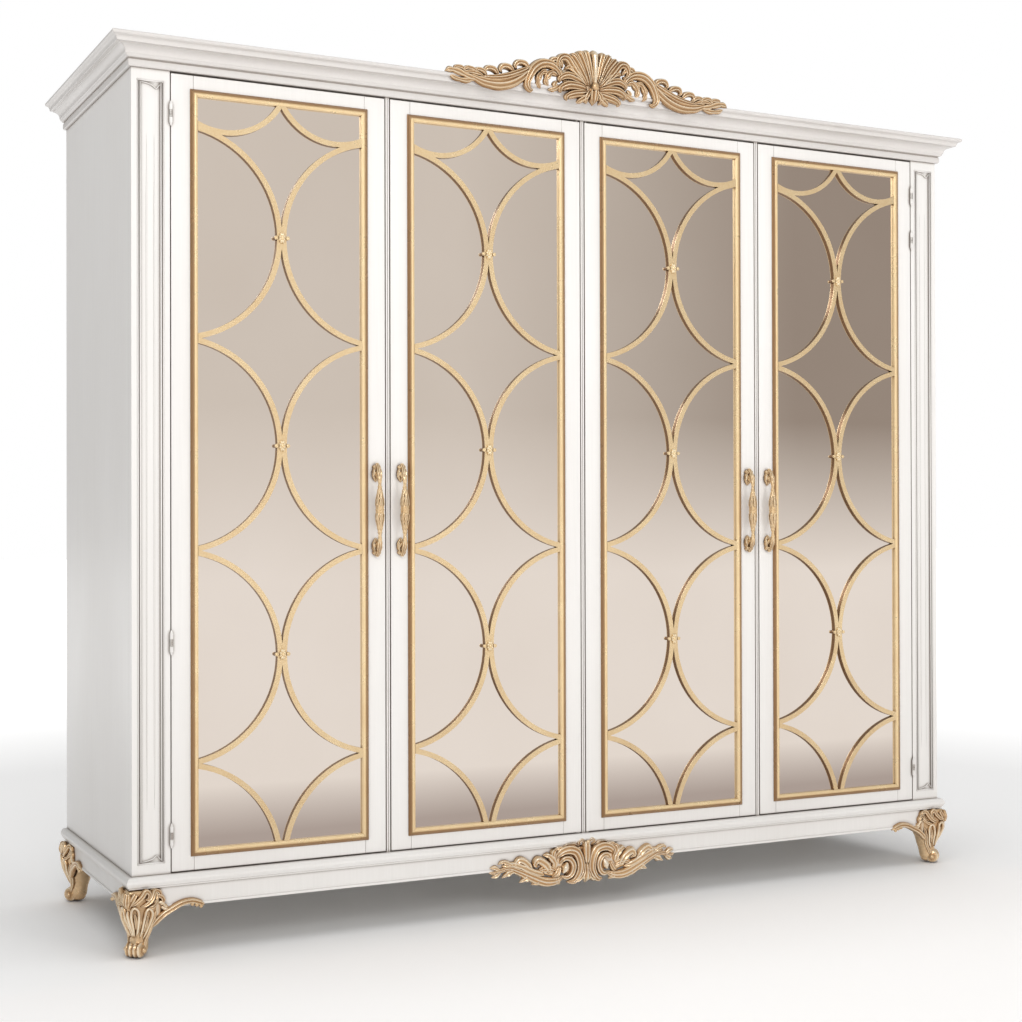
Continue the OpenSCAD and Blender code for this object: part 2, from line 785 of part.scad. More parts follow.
// what is screwed to a door: its catch strike, and hinge leaves or pivot bushes
module door_hardware(i) {
    color(steel) {
        block([catch_x(i) - catch_w / 2, front_y + door_t, top_under - 14],
            [catch_x(i) + catch_w / 2, front_y + door_t + strike_t, top_under - 1]);
        if (i == 1) for (z = hinge_z_left) hinge_moving(base_h + z);
        if (i == 4) mirror_x() for (z = hinge_z_right) hinge_moving(base_h + z);
        if (i == 2 || i == 3) {
            pivot_x = (i == 2 ? -1 : 1) * (meeting_w / 2 + pivot_in);
            for (z = [door_z, door_z + door_h - bush_len])
                translate([pivot_x, front_y + pivot_in, z]) difference() {
                    cylinder(r = bush_r, h = bush_len);
                    translate([0, 0, -1]) cylinder(r = pivot_r + running_fit, h = bush_len + 2);
                }
        }
    }
}

module door_1_frame() {
    door_frame(1);
}

module door_1_panel() {
    door_panel(1);
}

module door_1_mirror() {
    door_mirror(1);
}

module door_1_gold_frame() {
    door_gold_frame(1);
}

module door_1_lattice() {
    door_lattice(1);
}

module door_1_handle() {
    door_handle(1);
}

module door_1_hardware() {
    door_hardware(1);
}

module door_2_frame() {
    door_frame(2);
}

module door_2_panel() {
    door_panel(2);
}

module door_2_mirror() {
    door_mirror(2);
}

module door_2_gold_frame() {
    door_gold_frame(2);
}

module door_2_lattice() {
    door_lattice(2);
}

module door_2_handle() {
    door_handle(2);
}

module door_2_hardware() {
    door_hardware(2);
}

module door_3_frame() {
    door_frame(3);
}

module door_3_panel() {
    door_panel(3);
}

module door_3_mirror() {
    door_mirror(3);
}

module door_3_gold_frame() {
    door_gold_frame(3);
}

module door_3_lattice() {
    door_lattice(3);
}

module door_3_handle() {
    door_handle(3);
}

module door_3_hardware() {
    door_hardware(3);
}

module door_4_frame() {
    door_frame(4);
}

module door_4_panel() {
    door_panel(4);
}

module door_4_mirror() {
    door_mirror(4);
}

module door_4_gold_frame() {
    door_gold_frame(4);
}

module door_4_lattice() {
    door_lattice(4);
}

module door_4_handle() {
    door_handle(4);
}

module door_4_hardware() {
    door_hardware(4);
}

// ------- selection

side_panel_left();
side_panel_right();
top_panel();
bottom_panel();
partition_left();
partition_centre();
partition_right();
back_panels();
pilaster_left();
pilaster_right();
mullions();
cornice_front();
cornice_left();
cornice_right();
cornice_cap();
crest_carving();
base_moulding();
base_frame();
apron_carving();
foot_front_left();
foot_front_right();
foot_back_left();
foot_back_right();
hat_shelves();
centre_shelves();
hanging_rails();
rail_sockets();
shelf_pins();
hinges_fixed();
pivot_pins();
door_catches();
door_1_frame();
door_1_panel();
door_1_mirror();
door_1_gold_frame();
door_1_lattice();
door_1_handle();
door_1_hardware();
door_2_frame();
door_2_panel();
door_2_mirror();
door_2_gold_frame();
door_2_lattice();
door_2_handle();
door_2_hardware();
door_3_frame();
door_3_panel();
door_3_mirror();
door_3_gold_frame();
door_3_lattice();
door_3_handle();
door_3_hardware();
door_4_frame();
door_4_panel();
door_4_mirror();
door_4_gold_frame();
door_4_lattice();
door_4_handle();
door_4_hardware();
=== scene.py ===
import json
import math

import bmesh
import bpy
from mathutils import Matrix, Vector


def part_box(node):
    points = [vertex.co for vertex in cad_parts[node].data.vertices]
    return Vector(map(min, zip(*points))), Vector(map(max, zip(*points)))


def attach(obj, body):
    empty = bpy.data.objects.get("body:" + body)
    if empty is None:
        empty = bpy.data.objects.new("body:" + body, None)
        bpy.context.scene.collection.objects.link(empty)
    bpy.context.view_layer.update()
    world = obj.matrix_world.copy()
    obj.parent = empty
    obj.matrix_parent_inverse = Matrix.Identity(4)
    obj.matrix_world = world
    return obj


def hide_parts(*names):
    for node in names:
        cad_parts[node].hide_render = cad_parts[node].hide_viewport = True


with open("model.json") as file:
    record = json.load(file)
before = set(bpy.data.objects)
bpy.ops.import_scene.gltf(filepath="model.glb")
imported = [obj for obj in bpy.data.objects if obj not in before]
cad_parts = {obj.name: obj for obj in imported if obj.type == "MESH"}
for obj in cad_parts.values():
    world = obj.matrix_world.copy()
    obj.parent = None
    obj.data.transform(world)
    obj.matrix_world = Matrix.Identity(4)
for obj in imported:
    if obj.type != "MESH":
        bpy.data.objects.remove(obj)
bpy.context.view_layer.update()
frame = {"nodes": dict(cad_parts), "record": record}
bodyOf = {n: b for b, group in frame["record"]["behaviour"]["bodies"].items() for n in group}
slotOf = {s["node"]: s["material_slot"] for s in frame["record"]["subparts"]}
scene = bpy.context.scene
print("frame loaded:", len(bodyOf), "nodes")

# fixed places on the case that the new pieces are set from
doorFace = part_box("door_1_frame")[0][1]
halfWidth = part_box("side_panel_right")[1][0]
mm = 0.001


# camera and lamps

cameraSetup = {
    "place": (-2.0659, -3.9935, 0.9708),
    "turn": (90.3586, 0.1365, -26.7535),      # degrees
    "lens": 58.744,
    "sensor": 36.0,
}


def makeCamera(values):
    data = bpy.data.cameras.new("camera")
    data.lens = values["lens"]
    data.sensor_width = values["sensor"]
    data.clip_end = 100
    camera = bpy.data.objects.new("camera", data)
    camera.location = values["place"]
    camera.rotation_euler = [math.radians(a) for a in values["turn"]]
    scene.collection.objects.link(camera)
    scene.camera = camera


lightSetup = {
    "worldColor": (1.0, 0.995, 0.985),
    "worldStrength": 0.39,
    "shine": 0.62,                            # brightness that gloss reflects
    "backdrop": 1.0,                          # brightness of the background itself
    "lamps": {                                # place, target, size, watts, colour
        "keyLamp": ((-2.6, -6.4, 4.2), (0.0, -0.3, 1.0), 3.0, 143, (1.0, 0.992, 0.98)),
        "fillLamp": ((1.6, -6.4, 1.5), (0.3, -0.3, 0.6), 2.6, 96, (1.0, 0.992, 0.98)),
        "topLamp": ((0.0, -0.6, 5.2), (0.0, 0.0, 0.0), 4.0, 60, (1.0, 1.0, 1.0)),
    },
}


def makeLights(values):
    world = bpy.data.worlds.new("studio")
    scene.world = world
    world.use_nodes = True
    tree = world.node_tree
    tree.nodes.clear()
    path = tree.nodes.new("ShaderNodeLightPath")

    def skyOf(strength, colour=None):
        sky = tree.nodes.new("ShaderNodeBackground")
        sky.inputs["Strength"].default_value = strength
        if colour:
            sky.inputs["Color"].default_value = (*colour, 1)
        return sky.outputs[0]

    def choose(ray, otherwise, chosen):
        mix = tree.nodes.new("ShaderNodeMixShader")
        tree.links.new(path.outputs[ray], mix.inputs[0])
        tree.links.new(otherwise, mix.inputs[1])
        tree.links.new(chosen, mix.inputs[2])
        return mix.outputs[0]

    lit = choose("Is Glossy Ray", skyOf(values["worldStrength"], values["worldColor"]), skyOf(values["shine"]))
    lit = choose("Is Camera Ray", lit, skyOf(values["backdrop"], (1, 1, 1)))
    out = tree.nodes.new("ShaderNodeOutputWorld")
    tree.links.new(lit, out.inputs["Surface"])
    for name, (place, target, size, watts, colour) in values["lamps"].items():
        data = bpy.data.lights.new(name, "AREA")
        data.shape = "DISK"
        data.size = size
        data.energy = watts
        data.color = colour
        lamp = bpy.data.objects.new(name, data)
        lamp.location = place
        lamp.rotation_euler = (Vector(target) - Vector(place)).to_track_quat("-Z", "Y").to_euler()
        lamp.visible_glossy = name == "keyLamp"
        scene.collection.objects.link(lamp)


def newObject(name, mesh):
    obj = bpy.data.objects.new(name, mesh)
    scene.collection.objects.link(obj)
    return obj


def fromBmesh(name, bm):
    mesh = bpy.data.meshes.new(name)
    bm.to_mesh(mesh)
    bm.free()
    return newObject(name, mesh)


# materials: small helpers, then one function for each finish

def startMaterial(name):
    material = bpy.data.materials.new(name)
    material.use_nodes = True
    return material, material.node_tree, material.node_tree.nodes["Principled BSDF"]


def addNode(tree, kind, **values):
    node = tree.nodes.new(kind)
    for key, value in values.items():
        if key in node.inputs:
            node.inputs[key].default_value = value
        else:
            setattr(node, key, value)
    return node


def objectPattern(tree, scale):
    place = tree.nodes.new("ShaderNodeTexCoord")
    mapping = tree.nodes.new("ShaderNodeMapping")
    mapping.inputs["Scale"].default_value = scale
    tree.links.new(place.outputs["Object"], mapping.inputs["Vector"])
    return mapping.outputs["Vector"]


def cloud(tree, scale, detail=4.0, rough=0.5, size=1.0):
    node = addNode(tree, "ShaderNodeTexNoise", Scale=size, Detail=detail, Roughness=rough)
    tree.links.new(objectPattern(tree, scale), node.inputs["Vector"])
    return node.outputs["Fac"]


def ramp(tree, source, stops):
    node = tree.nodes.new("ShaderNodeValToRGB")
    while len(node.color_ramp.elements) < len(stops):
        node.color_ramp.elements.new(0.5)
    for element, (place, colour) in zip(node.color_ramp.elements, stops):
        element.position = place
        element.color = (*colour, 1) if len(colour) == 3 else colour
    tree.links.new(source, node.inputs["Fac"])
    return node.outputs["Color"]


def spread(tree, source, low, high):
    node = addNode(tree, "ShaderNodeMapRange")
    node.inputs["From Min"].default_value = 0.3
    node.inputs["From Max"].default_value = 0.7
    node.inputs["To Min"].default_value = low
    node.inputs["To Max"].default_value = high
    tree.links.new(source, node.inputs["Value"])
    return node.outputs["Result"]


def blendColour(tree, factor, first, second, kind="MIX"):
    node = tree.nodes.new("ShaderNodeMix")
    node.data_type = "RGBA"
    node.blend_type = kind
    for socket, value in ((node.inputs[0], factor), (node.inputs[6], first), (node.inputs[7], second)):
        if isinstance(value, (tuple, float, int)):
            socket.default_value = (*value, 1) if isinstance(value, tuple) else value
        else:
            tree.links.new(value, socket)
    return node.outputs[2]


def addBump(tree, shader, height, distance, strength=1.0):
    node = addNode(tree, "ShaderNodeBump", Distance=distance, Strength=strength)
    tree.links.new(height, node.inputs["Height"])
    tree.links.new(node.outputs["Normal"], shader.inputs["Normal"])


def occlusionShade(tree, reach, low, high, most=1.0):
    # painted shade: darker where faces meet in a corner or hollow, from ambient occlusion
    node = addNode(tree, "ShaderNodeAmbientOcclusion", Distance=reach)
    node.samples = 8
    return ramp(tree, node.outputs["AO"], [(low, (most,) * 3), (high, (0, 0, 0))])


paintLook = {
    "colour": (0.815, 0.80, 0.78),
    "shade": (0.765, 0.745, 0.722),
    # glaze tint of the brush strokes, also used as painted shade in corners
    "glazeAndShade": (0.27, 0.225, 0.19),
    "cornerShadeReach": 0.008,
    # painted shade: a broad darkening wherever the case shades itself
    "broadShade": (0.60, 0.565, 0.54),
    "broadShadeReach": 0.06,
    "broadShadeMost": 0.35,
    "roughness": (0.30, 0.42),
}


def makePaint(name, values):
    material, tree, shader = startMaterial(name)
    drift = cloud(tree, (2.2, 2.2, 0.9))
    strokes = cloud(tree, (190, 190, 5), 5.0, 0.6)
    base = blendColour(tree, spread(tree, drift, 0.0, 1.0), values["colour"], values["shade"])
    base = blendColour(tree, spread(tree, strokes, 0.0, 0.05), base, values["glazeAndShade"])
    # painted shade: broad darkening near corners, under the cornice and by the rails
    base = blendColour(tree, occlusionShade(tree, values["broadShadeReach"], 0.35, 1.0, values["broadShadeMost"]), base,
                       values["broadShade"])
    # painted shade: a thin dark line in every corner, in the colour that also tints the brush strokes
    base = blendColour(tree, occlusionShade(tree, values["cornerShadeReach"], 0.35, 0.93), base, values["glazeAndShade"])
    tree.links.new(base, shader.inputs["Base Color"])
    tree.links.new(spread(tree, drift, *values["roughness"]), shader.inputs["Roughness"])
    addBump(tree, shader, strokes, 0.0004, 0.35)
    shader.inputs["Coat Weight"].default_value = 0.15
    shader.inputs["Coat Roughness"].default_value = 0.2
    return material


carvedGold = {
    "colour": (0.80, 0.56, 0.31),
    "shade": (0.66, 0.435, 0.225),
    "rubAndHighlight": (1.0, 0.90, 0.72),
    "highlightMost": 0.85,
    "deepShade": (0.36, 0.20, 0.09),
    "glazeAndShade": (0.11, 0.05, 0.02),
    "metallic": 0.72,
    "roughness": (0.18, 0.28),
}
trimGold = {
    "colour": (0.95, 0.745, 0.43),
    "shade": (0.86, 0.63, 0.34),
    "rubAndHighlight": (1.0, 0.92, 0.72),
    "highlightMost": 0.6,
    "deepShade": (0.62, 0.40, 0.18),
    "glazeAndShade": (0.17, 0.085, 0.035),
    "umberAndFlankShade": (0.25, 0.125, 0.05),
    "metallic": 0.52,
    "roughness": (0.24, 0.36),
}
latticeGold = {**trimGold, "colour": (0.78, 0.60, 0.345), "shade": (0.68, 0.49, 0.26), "umberAndFlankShade": (0.20, 0.10, 0.04)}
castGold = {**carvedGold, "colour": (0.96, 0.74, 0.44), "shade": (0.82, 0.58, 0.31)}
apronGold = {**carvedGold, "colour": (0.97, 0.75, 0.48), "shade": (0.85, 0.62, 0.36), "rubAndHighlight": (1.0, 0.94, 0.82),
             "highlightMost": 0.95, "deepShade": (0.58, 0.36, 0.18), "glazeAndShade": (0.26, 0.14, 0.06)}


def makeGold(name, values, reach, band=None):
    # painted highlight on ridges, painted shade in grooves and hollows; band names the attribute of a brown border,
    # which on a lattice is painted shade on its flanks
    material, tree, shader = startMaterial(name)
    drift = cloud(tree, (14, 14, 14))
    fine = cloud(tree, (380, 380, 380), 3.0)
    base = blendColour(tree, spread(tree, drift, 0.0, 1.0), values["colour"], values["shade"])
    base = blendColour(tree, spread(tree, fine, 0.0, 0.25), base, values["rubAndHighlight"])
    # painted shade: deep brown in the wider hollows between strands
    base = blendColour(tree, occlusionShade(tree, reach * 2.5, 0.10, 0.62, 0.75), base, values["deepShade"])
    ridge = addNode(tree, "ShaderNodeAttribute", attribute_name="ridge").outputs["Fac"]
    groove = addNode(tree, "ShaderNodeMath", operation="MULTIPLY")
    groove.inputs[1].default_value = -1
    tree.links.new(ridge, groove.inputs[0])
    # painted highlight: the gilding turns pale on every ridge
    ridgeHighlight = ramp(tree, ridge, [(0.15, (0, 0, 0)), (0.95, (values["highlightMost"],) * 3)])
    base = blendColour(tree, ridgeHighlight, base, values["rubAndHighlight"])
    # painted shade: deep brown in every groove
    grooveShade = ramp(tree, groove.outputs[0], [(0.1, (0, 0, 0)), (1.0, (0.85,) * 3)])
    base = blendColour(tree, grooveShade, base, values["deepShade"])
    # painted shade: near black brown in the narrowest hollows
    base = blendColour(tree, occlusionShade(tree, reach, 0.08, 0.66), base, values["glazeAndShade"])
    # brown outer half of a frame; on a lattice the brown flanks are painted shade
    if band:
        inward = addNode(tree, "ShaderNodeAttribute", attribute_name=band)
        bandAndFlankShade = ramp(tree, inward.outputs["Fac"], [(0.0, (0.95,) * 3), (0.44, (0.8,) * 3), (0.56, (0, 0, 0))])
        base = blendColour(tree, bandAndFlankShade, base, values["umberAndFlankShade"])
    tree.links.new(base, shader.inputs["Base Color"])
    shader.inputs["Metallic"].default_value = values["metallic"]
    tree.links.new(spread(tree, drift, *values["roughness"]), shader.inputs["Roughness"])
    addBump(tree, shader, fine, 0.0003, 0.3)
    return material


mirrorLook = {"tint": (0.90, 0.875, 0.85), "edge": (0.87, 0.84, 0.81), "roughness": (0.012, 0.03)}


def makeMirror(values):
    material, tree, shader = startMaterial("mirrorGlass")
    drift = cloud(tree, (3, 3, 3))
    tree.links.new(blendColour(tree, spread(tree, drift, 0.0, 1.0), values["tint"], values["edge"]),
                   shader.inputs["Base Color"])
    shader.inputs["Metallic"].default_value = 1.0
    tree.links.new(spread(tree, drift, *values["roughness"]), shader.inputs["Roughness"])
    ripple = cloud(tree, (5, 5, 5), 1.0)
    addBump(tree, shader, ripple, 0.0002, 0.15)
    return material


steelLook = {"dark": (0.50, 0.49, 0.47), "light": (0.68, 0.67, 0.65), "roughness": (0.24, 0.38)}


def makeSteel(values):
    material, tree, shader = startMaterial("satinSteel")
    brushed = cloud(tree, (25, 900, 900), 3.0)
    tree.links.new(ramp(tree, brushed, [(0.3, values["dark"]), (0.7, values["light"])]),
                   shader.inputs["Base Color"])
    shader.inputs["Metallic"].default_value = 1.0
    tree.links.new(spread(tree, brushed, *values["roughness"]), shader.inputs["Roughness"])
    addBump(tree, shader, brushed, 0.0002, 0.2)
    return material


boardLook = {"colour": (0.79, 0.765, 0.73), "shade": (0.74, 0.71, 0.67), "roughness": (0.38, 0.5)}


def makeBoard(values):
    material, tree, shader = startMaterial("boardLacquer")
    drift = cloud(tree, (1.4, 1.4, 1.4))
    speck = cloud(tree, (420, 420, 420), 2.0)
    base = blendColour(tree, spread(tree, drift, 0.0, 1.0), values["colour"], values["shade"])
    tree.links.new(base, shader.inputs["Base Color"])
    tree.links.new(spread(tree, drift, *values["roughness"]), shader.inputs["Roughness"])
    addBump(tree, shader, speck, 0.0003, 0.25)
    return material


floorLook = {
    "colour": (0.86, 0.86, 0.86),
    "shade": (0.84, 0.84, 0.84),
    "half": 40,                               # metres from the middle to an edge
    "glow": [(0.0, 1.0), (0.35, 0.7), (0.62, 0.33), (0.8, 0.28)],     # from far away to the middle
    "shadowReach": 1.1,
}


def makeFloor(values):
    # pale floor that fades into the white background away from the armoire
    material, tree, shader = startMaterial("paleFloor")
    drift = cloud(tree, (0.7, 0.7, 0.7))
    tree.links.new(blendColour(tree, spread(tree, drift, 0.0, 1.0), values["colour"], values["shade"]),
                   shader.inputs["Base Color"])
    shader.inputs["Roughness"].default_value = 0.6
    shader.inputs["Emission Color"].default_value = (1, 1, 1, 1)
    fade = addNode(tree, "ShaderNodeTexGradient", gradient_type="SPHERICAL")
    tree.links.new(objectPattern(tree, (0.14, 0.14, 0.14)), fade.inputs["Vector"])
    glow = ramp(tree, fade.outputs["Fac"], [(place, (level,) * 3) for place, level in values["glow"]])
    near = addNode(tree, "ShaderNodeAmbientOcclusion", Distance=values["shadowReach"])
    unshaded = ramp(tree, near.outputs["AO"], [(0.25, (0, 0, 0)), (0.9, (1, 1, 1))])
    tree.links.new(blendColour(tree, 1.0, glow, unshaded, "MULTIPLY"), shader.inputs["Emission Strength"])
    bm = bmesh.new()
    bmesh.ops.create_grid(bm, x_segments=1, y_segments=1, size=values["half"])
    floor = fromBmesh("floor", bm)
    floor.data.materials.append(material)


makeCamera(cameraSetup)
makeLights(lightSetup)
makeFloor(floorLook)
print("camera, light and floor ready")

finishes = {
    "painted_wood": makePaint("agedWhitePaint", paintLook),
    "painted_hinge": makePaint("hingePaint", paintLook),
    "interior_board": makeBoard(boardLook),
    "gilded_carving": makeGold("carvedGilding", carvedGold, 0.010),
    "gilded_trim": makeGold("trimGilding", trimGold, 0.005),
    "gilded_brass": makeGold("handleGilding", castGold, 0.006),
    "nickel_steel": makeSteel(steelLook),
    "mirror_glass": makeMirror(mirrorLook),
}
apronGilding = makeGold("apronGilding", apronGold, 0.006)
# painted shade: the cornice gets a darker copy of the case paint, standing in for the shade on its faces
corniceShadeLook = {**paintLook, "colour": (0.65, 0.625, 0.605), "shade": (0.60, 0.575, 0.555)}
cornicePaintedShade = makePaint("cornicePaintedShade", corniceShadeLook)
frameGilding = makeGold("frameGilding", trimGold, 0.005, band="inward")
latticeGilding = makeGold("latticeGilding", latticeGold, 0.005, band="inward")
for nodeName, obj in frame["nodes"].items():
    obj.data.materials.clear()
    obj.data.materials.append(finishes[slotOf[nodeName]])
print("finishes ready")


# a merged copy of each painted or gilded part, with its sharp corners rounded

softened = {"painted_wood": 0.0009, "gilded_trim": 0.0009, "painted_hinge": 0.0003}
sharpAngle = math.radians(32)                 # a corner sharper than this is rounded
goldBorder = 0.017                            # width of a gold frame


def softenNode(name, width, material):
    bm = bmesh.new()
    bm.from_mesh(frame["nodes"][name].data)
    bmesh.ops.remove_doubles(bm, verts=bm.verts, dist=1e-6)
    bmesh.ops.dissolve_limit(bm, angle_limit=math.radians(0.5), verts=bm.verts, edges=bm.edges)
    low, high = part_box(name)
    # the gilding turns brown on the outer half of a gold frame, and on the flanks of a lattice, where this brown is
    # painted shade
    layer = bm.verts.layers.float.new("inward")
    for vert in bm.verts:
        x, y, z = vert.co
        if name.endswith("gold_frame"):
            vert[layer] = min(x - low[0], high[0] - x, z - low[2], high[2] - z) / goldBorder
        else:
            vert[layer] = 1.0 if y < (low[1] + high[1]) / 2 else -1.5
    for edge in bm.edges:
        edge.smooth = len(edge.link_faces) == 2 and edge.calc_face_angle() < sharpAngle
    for face in bm.faces:
        face.smooth = True
    piece = fromBmesh(name + "_eased", bm)
    piece.data.materials.append(material)
    bevel = piece.modifiers.new("easedEdges", "BEVEL")
    bevel.width = width
    bevel.segments = 2
    bevel.limit_method = "ANGLE"
    bevel.angle_limit = sharpAngle
    bevel.harden_normals = True
    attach(piece, bodyOf[name])
    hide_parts(name)


for nodeName, slotName in slotOf.items():
    if slotName in softened:
        finish = finishes[slotName]
        if slotName == "gilded_trim":
            finish = latticeGilding if nodeName.endswith("lattice") else frameGilding
        # the cornice takes the darker copy of the paint, painted shade
        elif nodeName.startswith("cornice"):
            finish = cornicePaintedShade
        softenNode(nodeName, softened[slotName], finish)
print("edges eased")


# bead planted round the sunk panel of each pilaster

panelBead = {"border": (0.015, 0.027), "half": 0.002, "proud": 0.0014, "inner": 0.0054, "reeds": (-0.3, 0.3)}


def makePanelBead(side, values):
    low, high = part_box("pilaster_" + side)
    face = low[1]
    x0, x1 = low[0] + values["border"][0], high[0] - values["border"][0]
    z0, z1 = low[2] + values["border"][1], high[2] - values["border"][1]
    half = values["half"]
    bm = bmesh.new()
    inner = values["inner"]
    for across, a, b, lowEnd, highEnd in (("z", x0, x1, z0, z1), ("x", z0, z1, x0, x1),
                                          ("z", x0 + inner, x1 - inner, z0 + inner, z1 - inner)):
        for place in (a, b):
            made = bmesh.ops.create_cone(bm, cap_ends=True, segments=12, radius1=half, radius2=half,
                                         depth=highEnd - lowEnd + 2 * half)
            middle = (lowEnd + highEnd) / 2
            if across == "z":
                turn = Matrix.Translation((place, face + half - values["proud"], middle))
            else:
                turn = (Matrix.Translation((middle, face + half - values["proud"], place))
                        @ Matrix.Rotation(math.pi / 2, 4, "Y"))
            bmesh.ops.transform(bm, matrix=turn, verts=made["verts"])
    # small pointed crest over each end of the panel
    for z, up in ((z0, 1), (z1, -1)):
        tongue = [Vector((x0 + (x1 - x0) * f, face + 0.003, z + up * 0.012 * rise))
                  for f, rise in ((0.05, 0.3), (0.3, 0.4), (0.55, 0.75), (0.72, 1.3), (0.84, 0.7), (0.95, 0.3))]
        addStrand(bm, tongue, [Vector((0, -1, 0))] * 6, [half * 0.7] * 6, [half * 1.6] * 6, rows=20)
    for place in values["reeds"]:
        x = (x0 + x1) / 2 + place * (x1 - x0) / 2
        spine = [Vector((x, face + 0.0045, z0 + (z1 - z0) * f)) for f in (0.03, 0.5, 0.97)]
        addStrand(bm, spine, [Vector((0, -1, 0))] * 3, [0.0014] * 3, [0.0016] * 3, rows=8)
    finishPiece("pilaster_" + side + "_bead", bm, "carcass", finishes["painted_wood"], "painted_wood")


# shared shapes of the carver's work

def smoothPath(points, count):
    # an even row of places on one smooth curve through the points
    ends = [2 * points[0] - points[1], *points, 2 * points[-1] - points[-2]]
    places = []
    for step in range(count + 1):
        where = step / count * (len(points) - 1)
        i = min(int(where), len(points) - 2)
        t = where - i
        a, b, c, d = ends[i:i + 4]
        places.append(0.5 * (2 * b + (c - a) * t + (2 * a - 5 * b + 4 * c - d) * t ** 2
                             + (3 * b - a - 3 * c + d) * t ** 3))
    return places


def between(values, t):
    where = t * (len(values) - 1)
    i = min(int(where), len(values) - 2)
    f = where - i
    f = f * f * (3 - 2 * f)
    return values[i] * (1 - f) + values[i + 1] * f


def rounding(t, reach):
    # closes both ends of a strand in a round tip
    fromEnd = min(t, 1 - t)
    if fromEnd >= reach:
        return 1.0
    return math.sqrt(max(0.0, 1 - (1 - fromEnd / reach) ** 2))


fluteDepth = 0.36                             # of a strand's height
lobeDepth = 0.30                              # of a strand's half width


def addStrand(bm, spine, outward, widths, heights, flutes=1, lobes=0, tip=0.14, rows=30, sink=0.002):
    # a carved strand: spine and outward are lists of vectors, widths are half widths.
    # It writes "ridge", which the gilding reads to paint a highlight on a ridge and shade in a groove: 1 on a ridge,
    # -1 in a groove
    centres = smoothPath(spine, rows)
    normals = smoothPath(outward, rows)
    front = max(8, 6 * flutes)                # faces across the front
    columns = front + 4                       # and round the whole strand
    layer = bm.verts.layers.float.get("ridge") or bm.verts.layers.float.new("ridge")
    grid = bmesh.ops.create_grid(bm, x_segments=rows, y_segments=columns, size=0.5)
    for vert in grid["verts"]:
        row = round((vert.co.x + 0.5) * rows)
        col = round((vert.co.y + 0.5) * columns)
        t = row / rows
        along = centres[min(row + 1, rows)] - centres[max(row - 1, 0)]
        out = normals[row].normalized()
        side = along.cross(out).normalized()
        close = rounding(t, tip)
        half = between(widths, t) * close
        rise = between(heights, t) * close
        s = -1 + 2 * col / front if col <= front else 1 - 2 * (col - front) / (columns - front)
        if lobes:
            wave = abs(math.sin(lobes * math.pi * t)) ** 0.7
            half *= 1 - lobeDepth + lobeDepth * wave
        if col <= front:
            level = max(0.0, 1 - s * s) ** 0.42
            trough = 0.5 + 0.5 * math.cos(math.pi * flutes * (s + 1)) if flutes > 1 else 0.3 * abs(s)
            vert[layer] = 2 * (1 - trough) * level - 1
            if flutes > 1:
                level *= 1 - fluteDepth * trough
            if lobes:
                level *= 1 - lobeDepth * abs(s) * (0.5 + 0.5 * math.cos(2 * math.pi * lobes * (t - 0.10 * abs(s))))
            height = rise * level
        else:
            height = -sink * close
            vert[layer] = -1
        vert.co = centres[row] + side * (s * half) + out * height
    bmesh.ops.remove_doubles(bm, verts=grid["verts"], dist=2e-6)


def addKnob(bm, place, radii, turn=None):
    made = bmesh.ops.create_uvsphere(bm, u_segments=16, v_segments=10, radius=1.0)
    shape = Matrix.Diagonal((*radii, 1))
    if turn:
        shape = turn @ shape
    bmesh.ops.transform(bm, matrix=Matrix.Translation(place) @ shape, verts=made["verts"])


def finishPiece(name, bm, body, material, slot, *nodes):
    bmesh.ops.recalc_face_normals(bm, faces=bm.faces)
    for face in bm.faces:
        face.smooth = True
    piece = fromBmesh(name, bm)
    piece.data.materials.append(material)
    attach(piece, body)
    if nodes:
        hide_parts(*nodes)


def carveFlat(bm, strands, origin, mirrored=True, lift=0.0):
    # strands on a flat back: (points as across and up), half widths, heights, flutes, lobes, lift
    for points, widths, heights, flutes, lobes, raised in strands:
        centred = all(abs(p[0]) < 1e-6 for p in points)
        for sign in ((1,) if centred or not mirrored else (1, -1)):
            spine = [origin + Vector((sign * x, -(raised + lift), z)) * mm for x, z in points]
            addStrand(bm, spine, [Vector((0, -1, 0))] * len(points), [w * mm for w in widths],
                      [h * mm for h in heights], flutes, lobes, sink=(raised + 0.5) * mm)


for side in ("left", "right"):
    makePanelBead(side, panelBead)
print("panel beads planted")

